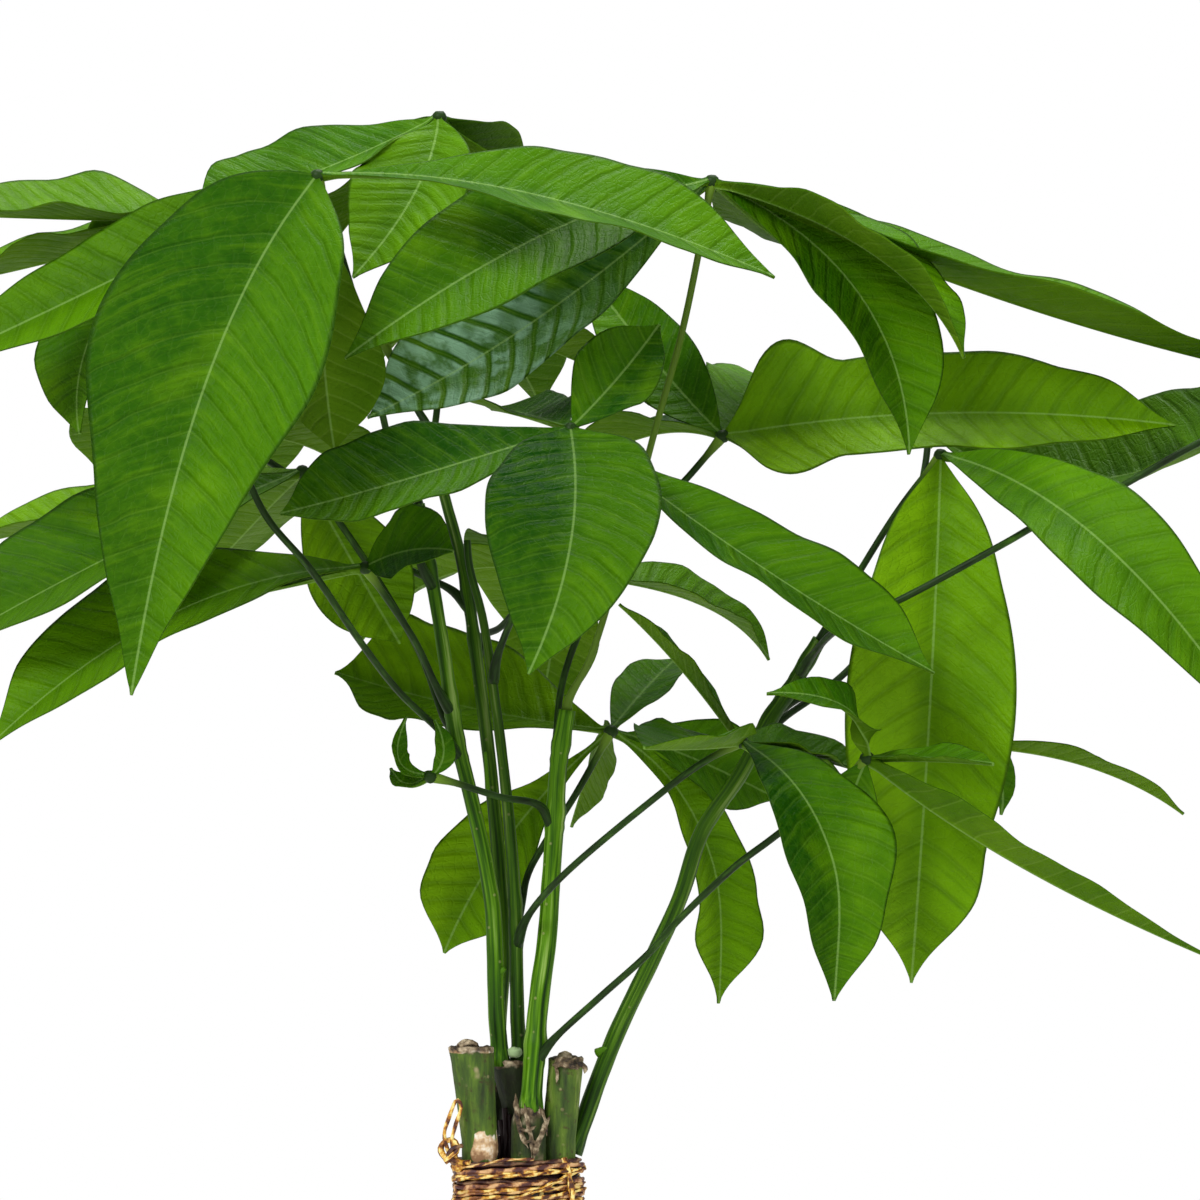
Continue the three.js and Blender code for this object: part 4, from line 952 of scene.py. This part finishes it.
shoots = {
    "shoot_left": {"radius": (2.2, 1.5), "shade": 0.15, "line": [
        (-4, 1.6, 304.8), (-4, 1.5, 308), (-4.6, -0.6, 318), (-5.8, -2, 345), (-10.8, -2, 370),
        (-14.4, -2, 385), (-18.2, -1, 410), (-21.6, 0, 430), (-24, 1, 444)]},
    "shoot_middle": {"radius": (1.9, 0.9), "shade": 0.55, "line": [
        (0.9, 4, 304.8), (0.9, 3.9, 308), (0.5, 2, 320), (0, 1, 345), (-2, 2, 370),
        (-5, 2, 395), (-8, 2, 415), (-11.5, 2, 429), (-12, 2, 435)]},
    "shoot_right": {"radius": (2.7, 2.1), "shade": 0, "line": [
        (4, -5, 293.3), (4.1, -4.9, 296.5), (5.2, -3.5, 310), (6, -2, 320), (8, 0, 335), (9, 0, 350),
        (10, 0, 365), (11, 0, 380), (13, 0, 392.5)]},
    "shoot_outer": {"radius": (2.3, 1.8), "shade": 0.4, "line": [
        (14.6, 4.6, 283), (17.1, 5.1, 289.5), (21.8, 6, 302.5), (27, 4, 315), (32.3, 2, 326),
        (41, 0, 345), (47, -1, 362.5), (56, -1, 376), (63.5, -2, 390), (68.5, -3, 397.5), (76, -6, 410)]},
    "shoot_back": {"radius": (2.0, 1.3), "shade": 0.45, "line": [
        (-4.8, 12.3, 298.3), (-4.7, 12.2, 301.5), (-4, 11, 315), (-3, 9.4, 332), (-5.5, 10, 370),
        (-9, 11, 400), (-13, 17, 427), (-19, 30, 450), (-22, 37, 462)]},
}

# Leaves: the shoot and the height on it, the hub where the leaflets meet, the points that the stalk passes,
# how yellow each leaflet is (below zero, a deep green with the painted sheen), and each leaflet: middle of
# its rib, tip, width and facing, and where they differ from the usual its belly, its lobes and its hook.
leaves = {
    "leaf_front_left": {"shoot": "shoot_left", "at": 428, "hub": (-48, -58, 524),
        "via": [(-27, -6, 440), (-33, -18, 467), (-38, -32, 489)],
        "tones": (0.18, 0.54, 0.42, 0.6),
        "blades": [
            ((-74.5, -80, 473), (-92, -100, 397), 62, (-0.1, -0.95, 0.35), 0.85, (1.05, 0.95, 1, 0.85, 0.8)),
            ((-95, -55, 500), (-148, -54, 475), 27, (0.05, -0.72, 0.62), 0.9),
            ((4, -68, 519), (64, -60, 499), 38, (0, -0.5, 0.86), 1.8),
            ((-47, -49, 486), (-44, -46, 457), 29, (0.3, 0.9, 0.3), 1.6),
        ]},
    "leaf_top": {"shoot": "shoot_left", "at": "tip", "hub": (-19, 8, 541),
        "via": [(-20, 3, 464), (-18, 5, 518)],
        "tones": (0.45, 0.2, 0.3, 0.2, 0.62),
        "blades": [
            ((-50, 4, 526.8), (-81, -2, 517), 32, (0, -0.4, 0.9), 1.15, (1, 1, 1, 1.1, 1.6)),
            ((-38, 44, 522), (-55, 78, 501), 34, (-0.3, -0.4, 0.85)),
            ((-16, 50, 530), (-18, 96, 514), 38, (0, -0.2, 0.97)),
            ((-1, 34, 521), (18, 60, 511), 34, (0.2, -0.3, 0.9)),
            ((-25, -9, 521), (-40, -22, 500), 32, (-0.2, -0.8, 0.5)),
        ]},
    "leaf_upper_right": {"shoot": "shoot_right", "at": "tip", "hub": (49, -20, 524),
        "via": [(19, -4, 406), (31, -9, 447.5), (35, -11, 462.5), (41.5, -14, 486),
                (46, -17, 507.5)],
        "tones": (0.26, -0.75, 0.4, 0.25, 0.5, 0.25), "stalkTone": 0.45,
        "blades": [
            ((6, -47, 509), (-41, -66, 479), 38, (-0.25, -0.85, 0.45), 1.2),
            ((5, -22, 489), (-36, -38, 465), 35, (0, -0.7, 0.65), 1.25, (1, 1, 1, 1.1, 1.2)),
            ((89.2, -40, 505.5), (110.8, -50, 479.5), 36, (0.1, 0.1, 1)),
            ((85, -24, 496), (97.5, -34, 456), 34, (0.55, -0.75, 0.4)),
            ((121, -14, 495.4), (189, 8, 477), 42, (0.1, -0.12, 1), 1.05, (1, 1, 1, 1.2, 1.2)),
            ((65, 26, 512), (73, 60, 510), 30, (0, 0, 1)),
        ]},
    "leaf_far_left": {"shoot": "shoot_left", "at": 385, "hub": (-81, -40, 514),
        "via": [(-29, -16, 397.5), (-39, -30, 411), (-50, -42, 427.5), (-62, -48, 442.5),
                (-71.5, -50, 470)],
        "tones": (0.6, 0.6, 0.35, 0.4),
        "blades": [
            ((-106, -36, 514.5), (-149, -38, 515.5), 40, (0, -0.25, 0.97), 1.05, (0.7, 0.85, 1, 1, 1)),
            ((-110, -16, 506), (-146, -4, 498), 38, (0, -0.2, 0.98)),
            ((-103, -34, 488), (-107, -40, 461), 30, (-0.65, -0.6, 0.35)),
            ((-90, -2, 507), (-100, 38, 493), 36, (0, 0.1, 1)),
        ]},
    "leaf_right_middle": {"shoot": "shoot_right", "at": 384, "hub": (52, 6, 461),
        "via": [(12, 7, 400), (20, 8, 420), (35, 7, 442), (43.5, 6, 451)],
        "tones": (0.92, 0.3, 0.1, 0.5),
        "blades": [
            ((108, 0, 466.5), (165, -2, 463.5), 42, (0, -0.8, 0.6), 0.8, (1.75, 0.83, 0.78, 0.95, 1.25)),
            ((36, 22, 479), (18, 46, 503), 22, (-0.4, -0.6, 0.7)),
            ((34, 22, 462), (14, 42, 452), 32, (0.1, -0.2, 0.97)),
            ((66, 38, 473), (70, 72, 471), 38, (0, -0.2, 1)),
        ]},
    "leaf_far_right": {"shoot": "shoot_outer", "at": 405, "hub": (189, -22, 469),
        "via": [(78, -25, 411), (84, -42, 415), (96, -44, 420.5), (121, -44, 434),
                (130, -38, 439), (146, -36, 446), (164, -33, 456)],
        "tones": (0.55, 0.6, 0.5, 0.4, 0.4),
        "blades": [
            ((146, 16, 450), (106, 26, 461), 45, (0, -0.6, 0.8), 0.75, (1.45, 1.15, 1, 1, 1)),
            ((214, -40, 482), (240, -64, 468), 40, (0.1, -0.4, 0.9)),
            ((218, -12, 480), (246, 8, 462), 42, (0.1, 0, 1)),
            ((204, 14, 460), (216, 50, 442), 40, (0, 0.1, 1)),
            ((197, -32, 444), (205, -38, 408), 36, (0.7, -0.6, 0.2)),
        ]},
    "leaf_hanging_right": {"shoot": "shoot_outer", "at": "tip", "hub": (106, -16, 456),
        "via": [(85, -9, 425.5), (96, -12, 443)],
        "tones": (0.9, 0.5, 0.4),
        "blades": [
            ((103, -27, 394), (98.5, -22, 325), 45, (0, -1, 0.05), 1, (1.15, 1, 1, 1, 1.45)),
            ((144, -62, 434), (183, -68, 386), 29, (0.1, -0.87, 0.5)),
            ((107, 14, 436), (107, 40, 421), 17, (0, 0.1, 0.97)),
        ]},
    "leaf_centre": {"shoot": "shoot_middle", "at": 404, "hub": (14, -45, 462),
        "via": [(1, -14, 420), (8, -32, 443)],
        "tones": (-0.02, 0.06, 0.05, 0.05, 0.2),
        "blades": [
            ((14, -84, 433), (4, -98, 402), 45, (0, -0.75, 0.65), 0.85, (1.15, 1.05, 1, 0.95, 0.9)),
            ((-29, -58, 448.5), (-57, -62, 441), 31, (-0.1, -0.7, 0.7)),
            ((2, -24, 466), (-6, 14, 468), 26, (0, -0.2, 0.97)),
            ((26, -38, 475), (36, -36, 488), 24, (-0.3, -0.9, 0.2)),
            ((59, -56, 429), (103, -64, 402), 33, (0.2, -0.5, 0.85), 1.4, (1, 1, 1, 1, 1.3)),
        ]},
    "leaf_left_middle": {"shoot": "shoot_left", "at": 396, "hub": (-37, -20, 428),
        "via": [(-25, -10, 410)],
        "tones": (0.6, 0.3, 0.12),
        "blades": [
            ((-84, -32, 416.5), (-129, -40, 384), 40, (0, -0.5, 0.87), 1.3, (1, 1, 1, 0.9, 1)),
            ((-66, -22, 421.5), (-92, -24, 415), 15, (0, -0.3, 0.95)),
            ((-26, -27, 432), (-15, -34, 432), 25, (0.1, -0.8, 0.6)),
        ]},
    "leaf_left_back": {"shoot": "shoot_left", "at": 391, "hub": (-53, -4, 452),
        "via": [(-24, 7, 407), (-35, 5, 426), (-45, 0, 441)],
        "tones": (0.35, 0.75, 0.9, 0.4),
        "blades": [
            ((-97, -26, 432), (-146, -34, 405), 45, (0, -0.45, 0.9), 1.3),
            ((-98, 14, 443), (-142, 22, 433), 38, (0, -0.2, 0.97)),
            ((-40, 10, 428), (-29, 14, 409), 28, (-0.1, -0.95, 0.2)),
            ((-66, 32, 440), (-82, 70, 424), 36, (0, 0.1, 1)),
        ]},
    "leaf_centre_low": {"shoot": "shoot_middle", "at": 344, "hub": (24, 14, 387),
        "via": [(3.5, 9, 352), (8, 11, 360), (15, 12, 371)],
        "tones": (1.0, 1.0, 0.4, 0.85, 0.4, 0.5),
        "blades": [
            ((-12, 36, 392.5), (-46, 42, 401.5), 44, (0, -0.55, 0.83), 1.3, (1, 1, 1, 1.15, 1.8)),
            ((-1, 24, 361), (-18, 24, 331), 29, (0, -0.8, 0.5), 1.45, (0.5, 0.5, 0.85, 1, 1.3)),
            ((20, 42, 380), (14, 72, 362), 15, (1, 0, 0.2)),
            ((46.8, 27, 361), (53, 24, 318), 22, (0.6, -0.75, 0.2), 1.4, (1, 0.7, 0.85, 1, 1.7), 2.5),
            ((33, 36, 397.5), (41, 58, 405), 16, (0.1, -0.2, 0.97)),
            ((43, 30, 380.5), (66, 40, 369.5), 25, (0, -0.85, 0.5), 1.8),
        ]},
    "leaf_low_right": {"shoot": "shoot_middle", "at": 338, "hub": (56, -38, 385),
        "via": [(11, -18, 350.5), (33.5, -34, 370), (46, -38, 379.5)],
        "tones": (-0.04, 0.4, 0.35, 0.3, 0.3),
        "blades": [
            ((76, -62, 362), (81, -70, 322), 34, (0.4, -0.8, 0.4), 1.1, (0.9, 0.9, 0.98, 0.9, 1.1), 3),
            ((45, -56, 384), (32, -76, 384), 32, (-0.2, -0.4, 0.9)),
            ((41, -36, 404), (26, -36, 419), 16, (0.7, 0, 0.7)),
            ((71, -27, 382), (88, -24, 377), 22, (0, -0.3, 0.95)),
            ((68, -28, 377), (84, -14, 371), 22, (0, 0, 1)),
        ]},
    "leaf_low_front": {"shoot": "shoot_right", "at": 309, "hub": (87, -48, 381),
        "via": [(21, -14, 321), (33.5, -22, 332.5), (41, -27, 341), (55, -36, 354.5),
                (63.5, -40, 361), (80.5, -45, 374.5)],
        "tones": (0.3, 0.35, 0.45, 0.4),
        "blades": [
            ((81, -60, 393.5), (62, -64, 397), 15, (-0.2, -0.6, 0.8)),
            ((103, -60, 381), (117, -78, 380), 13, (0, -0.3, 0.95)),
            ((124, -56, 355.5), (172, -60, 332), 21, (0.45, 0.2, 0.85), 0.75),
            ((82, -46, 366), (80, -43, 348), 18, (0, -0.9, 0.3)),
        ]},
    "leaf_low_back": {"shoot": "shoot_outer", "at": 396, "hub": (104, 12, 384),
        "via": [(80, 5, 397), (93, 10, 391)],
        "tones": (0.4, 0.4, 0.45, 0.4),
        "blades": [
            ((140, 14, 379.8), (167.5, 16, 366.2), 15, (0.2, 0.05, 1), 1.05, (1, 1, 1, 1, 1.2), 3),
            ((119, 14, 379), (122, 16, 366), 10, (0.3, -0.9, 0.2)),
            ((103, 20, 362), (101, 26, 338), 34, (0, -0.85, 0.5)),
            ((108, 46, 389), (112, 84, 374), 36, (0, 0.1, 1)),
        ]},
    "leaf_young": {"shoot": "shoot_right", "at": 367, "hub": (-21, -12, 376),
        "via": [(-4, -10, 371), (-15, -11, 374.5)],
        "tones": (0.4, 0.4, 0.4),
        "blades": [
            ((-29, -14, 380), (-27, -15, 391), 8, (0.7, -0.5, 0.5)),
            ((-18, -14, 382), (-20, -12, 390), 7, (0.6, -0.7, 0.3)),
            ((-27, -9, 374), (-31, -6, 378), 7, (0, -0.5, 0.8)),
        ]},
    "leaf_back_top": {"shoot": "shoot_back", "at": "tip", "hub": (-34, 52, 486),
        "via": [(-26, 42, 470)],
        "tones": (0.4, 0.45, 0.5, 0.45),
        "blades": [
            ((-66, 76, 488), (-92, 92, 470), 40, (-0.1, 0.1, 1)),
            ((-44, 94, 488), (-52, 132, 466), 44, (0, 0.2, 1)),
            ((-10, 90, 490), (6, 126, 470), 42, (0.1, 0.2, 1)),
            ((2, 62, 486), (34, 66, 470), 38, (0.1, 0, 1)),
        ]},
    "leaf_back_right": {"shoot": "shoot_outer", "at": 390, "hub": (105, 60, 470),
        "via": [(85, 14, 404), (96, 30, 426), (104, 49, 455)],
        "tones": (0.45, 0.4, 0.45, 0.5),
        "blades": [
            ((82, 92, 472), (68, 120, 462), 38, (-0.1, 0.1, 1)),
            ((104, 104, 473), (108, 142, 460), 42, (0, 0.1, 1)),
            ((130, 88, 471), (152, 108, 459), 40, (0.1, 0.1, 1)),
            ((134, 60, 468), (160, 56, 458), 36, (0.1, 0, 1)),
        ]},
    "leaf_back_low": {"shoot": "shoot_back", "at": 410, "hub": (10, 62, 427),
        "via": [(-4, 26, 413), (3, 44, 421)],
        "tones": (0.35, 0.4, 0.55, 0.3),
        "blades": [
            ((-18, 82, 427), (-40, 96, 410), 33, (-0.1, 0.2, 1)),
            ((6, 100, 429), (2, 136, 406), 42, (0, 0.3, 1)),
            ((45.6, 84, 420), (64.8, 94, 404.5), 23, (0, -0.4, 0.9)),
            ((9, 76, 409), (5, 82, 389), 26, (0, 0.9, 0.3)),
        ]},
    "leaf_back_left": {"shoot": "shoot_back", "at": 422, "hub": (-78, 56, 462),
        "via": [(-31, 28, 430), (-50, 43, 446), (-66, 52, 457)],
        "tones": (0.5, 0.4, 0.45, 0.4),
        "blades": [
            ((-98, 66, 464), (-108, 80, 454), 32, (-0.1, 0, 1)),
            ((-90, 88, 464), (-100, 116, 450), 38, (-0.1, 0.1, 1)),
            ((-70, 92, 464), (-64, 124, 450), 38, (0, 0.1, 1)),
            ((-54, 74, 460), (-38, 88, 447), 32, (0.1, 0.1, 1)),
        ]},
}
stalkForm = {
    "radius": 0.88, "foot": 1.5, "tipFoot": 0.8, "footReach": 2.2, "footLong": 12, "rise": 5, "hub": 1.9,
    "neck": 0.55, "neckLong": 7, "paleLong": 10, "pale": 0.7, "gap": 0.3, "sides": 12, "step": 1.6,
}


# from inside the shoot's skin to the hub
def stalkLine(leaf):
    shoot = shoots[leaf["shoot"]]
    curve, length = evenly(throughPoints(shoot["line"]), 1.0)
    g = stalkForm
    if leaf["at"] == "tip":
        along = (curve[-1] - curve[-2]).normalized()
        start = [curve[-1] - along * 0.6, curve[-1] + along * (g["gap"] + g["footReach"])]
    else:
        k = next(i for i, p in enumerate(curve) if p.z >= leaf["at"])
        middle, along = curve[k], (curve[k + 1] - curve[k - 1]).normalized()
        away = Vector(leaf["via"][0]) - middle
        away = (away - along * away.dot(along)).normalized()
        radius = mix(*shoot["radius"], k / (len(curve) - 1)) + g["gap"]
        inside = curve[max(k - g["rise"], 0)]  # it leaves at an acute angle, as a petiole does
        start = [inside + away * (radius * 0.2), middle + away * (radius + g["footReach"]) + along * 0.6]
    return [*start, *[Vector(p) for p in leaf["via"]], Vector(leaf["hub"])]


for leafName, leaf in leaves.items():
    form = Form()
    line, length = evenly(throughPoints(stalkLine(leaf)), stalkForm["step"])
    foot = stalkForm["foot"] * (stalkForm["tipFoot"] if leaf["at"] == "tip" else 1)

    def stalkRadius(t):
        base = mix(foot, stalkForm["radius"], smooth(t * length / stalkForm["footLong"]))
        # thickens again under the hub
        return base + stalkForm["neck"] * smooth((t - 1) * length / stalkForm["neckLong"] + 1)

    tones = []
    for i in range(len(line)):  # paler towards the hub
        pale = stalkForm["pale"] * smooth((i / (len(line) - 1) - 1) * length / stalkForm["paleLong"] + 1)
        tones += [(max(leaf.get("stalkTone", 0), pale), 0, 0)] * stalkForm["sides"]
    form.add(rodRows(line, stalkRadius, stalkForm["sides"]), tubeFaces(len(line), stalkForm["sides"]), 1,
             rodGrain(line, stalkRadius, stalkForm["sides"]), tones)
    seed = len(leafName) + leaf["hub"][0]
    addKnob(form, leaf["hub"], stalkForm["hub"], 1, (1, 1, 0.9), seed)
    for order, blade in enumerate(leaf["blades"]):
        addBlade(form, leaf["hub"], blade, order, leaf["tones"][order])
    addPiece(leafName + "_fine", form, [waxyLeaf, greenStalk], leafName)
print("leaves made,", len(leaves))

# short twigs and stubs on the shoots: (shoot, start, end, radius)
twigs = {
    "shoot_outer": [((20.6, 5.6, 306.5), (23.4, 4, 308), 1.3)],
    "shoot_middle": [((-6.8, 1.6, 372), (-7.4, -0.4, 382), 0.7)],
    "shoot_left": [((-4.6, -1.2, 326), (-2.6, -3, 328), 1.2)],
}
knuckles = {"shoot_middle": ((-0.2, 1.2, 306.9), 1.9)}  # pale callus at the foot: middle, radius
shootForm = {
    "sides": 18, "step": 1.4, "into": 1.4, "lumps": 0.09, "scar": 0.2, "scarWide": 2.2, "groove": 0.1,
    "grooveDown": 4, "grooveWide": 0.7, "flare": 0.25, "flareLong": 6, "twigSides": 10, "twigStep": 0.8,
}
for shootName, shoot in shoots.items():
    form = Form()
    line = [Vector(p) for p in shoot["line"]]
    line[0] = line[0] - (line[1] - line[0]).normalized() * shootForm["into"]  # sits down into the cut trunk
    curve, length = evenly(throughPoints(line), shootForm["step"])
    knots = [leaf["at"] for leaf in leaves.values() if leaf["shoot"] == shootName and leaf["at"] != "tip"]

    def swelling(t, angle):
        here = curve[min(int(t * (len(curve) - 1)), len(curve) - 1)]
        lump = Vector((here.x * 0.05 + math.cos(angle), math.sin(angle), here.z * 0.13))
        size = 1 + shootForm["lumps"] * noise.noise(lump)
        for height in knots:  # a swelling at each stalk and a ring scar under it
            up = here.z - height
            knot = shootForm["scar"] * math.exp(-(up / shootForm["scarWide"]) ** 2)
            below = (up + shootForm["grooveDown"]) / shootForm["grooveWide"]
            size += knot + shootForm["groove"] * math.exp(-below ** 2)
        return size

    def shootRadius(t):
        flare = shootForm["flare"] * smooth(1 - t * length / shootForm["flareLong"])
        return mix(*shoot["radius"], t) * (1 + flare)

    points = rodRows(curve, shootRadius, shootForm["sides"], swelling)
    form.add(points, tubeFaces(len(curve), shootForm["sides"]), 0,
             rodGrain(curve, shootRadius, shootForm["sides"]), [(0, shoot["shade"], 0)] * len(points))
    if shootName in knuckles:
        addKnob(form, *knuckles[shootName], squash=(1.1, 0.8, 0.75), seed=4, rough=0.35, rings=8, sides=12,
                tone=(0.85, 0, 0))
    for start, end, radius in twigs.get(shootName, []):
        twig, _ = evenly([Vector(start), Vector(end)], shootForm["twigStep"])
        form.add(rodRows(twig, lambda t: radius * (1 - 0.45 * t), shootForm["twigSides"]),
                 tubeFaces(len(twig), shootForm["twigSides"]))
    addPiece(shootName + "_fine", form, [greenShootBark], shootName)
print("shoots made")

# 300 mm of the object's height fill the frame, seen level from 3 m
view = {"place": (0.02125, -3.0, 0.42), "tilt": 90, "lens": 360, "sensor": 36, "near": 0.1, "far": 40}
camera = bpy.data.objects.new("camera", bpy.data.cameras.new("camera"))
camera.data.lens, camera.data.sensor_width = view["lens"], view["sensor"]
camera.data.clip_start, camera.data.clip_end = view["near"], view["far"]
camera.location = view["place"]
camera.rotation_euler = (math.radians(view["tilt"]), 0, 0)
bpy.context.scene.collection.objects.link(camera)
bpy.context.scene.camera = camera

studio = {
    "floor": 3.2, "fading": (0.35, 1.5), "world": 0.52, "backdrop": 1.0,
    "lamps": [  # name, place, size, watts, aim
        ("keyLight", (-1.1, -1.9, 2.1), 0.9, 50, (0.02, 0, 0.45)),
        ("fillLight", (1.7, -1.5, 1.0), 1.4, 10, (0.02, 0, 0.4)),
        ("topLight", (0.2, 0.5, 2.0), 1.0, 20, (0.02, 0, 0.45)),
    ],
}
floorMesh = bpy.data.meshes.new("floor")
w = studio["floor"]
floorMesh.from_pydata([(-w, -w, 0), (w, -w, 0), (w, w, 0), (-w, w, 0)], [], [(0, 1, 2, 3)])
floor = bpy.data.objects.new("floor", floorMesh)
bpy.context.scene.collection.objects.link(floor)
# board painted matt off-white, which fades into the white backdrop away from the pot: no horizon shows
floorMaterial, tree, shader = newMaterial(
    "paintedBoard", Roughness=0.7, Base_Color="#eeece8", Emission_Color="#ffffff")
reach = addNode(tree, "VectorMath", addNode(tree, "TexCoord").outputs["Object"], operation="LENGTH")
whitened = addNode(tree, "MapRange", reach, *studio["fading"], 0, 1, interpolation_type="SMOOTHSTEP")
looked = addNode(tree, "LightPath").outputs["Is Camera Ray"]
setInputs(shader, Emission_Strength=addNode(tree, "Math", whitened, looked, operation="MULTIPLY"))
floorMesh.materials.append(floorMaterial)

for lampName, place, size, watts, aim in studio["lamps"]:
    lamp = bpy.data.lights.new(lampName, "AREA")
    lamp.size, lamp.energy = size, watts
    lampObject = bpy.data.objects.new(lampName, lamp)
    lampObject.location = place
    lampObject.rotation_euler = (Vector(aim) - Vector(place)).to_track_quat("-Z", "Y").to_euler()
    bpy.context.scene.collection.objects.link(lampObject)

world = bpy.data.worlds.new("studioWorld")
world.use_nodes = True
bpy.context.scene.world = world
tree = world.node_tree
seen = addNode(tree, "LightPath").outputs["Is Camera Ray"]
bright = addNode(tree, "MapRange", seen, 0, 1, studio["world"], studio["backdrop"],
                 interpolation_type="SMOOTHSTEP")
setInputs(tree.nodes["Background"], Color="#ffffff", Strength=bright)
# keeps the greens as saturated as in the photograph
bpy.context.scene.view_settings.view_transform = "Standard"
print("camera and light set")
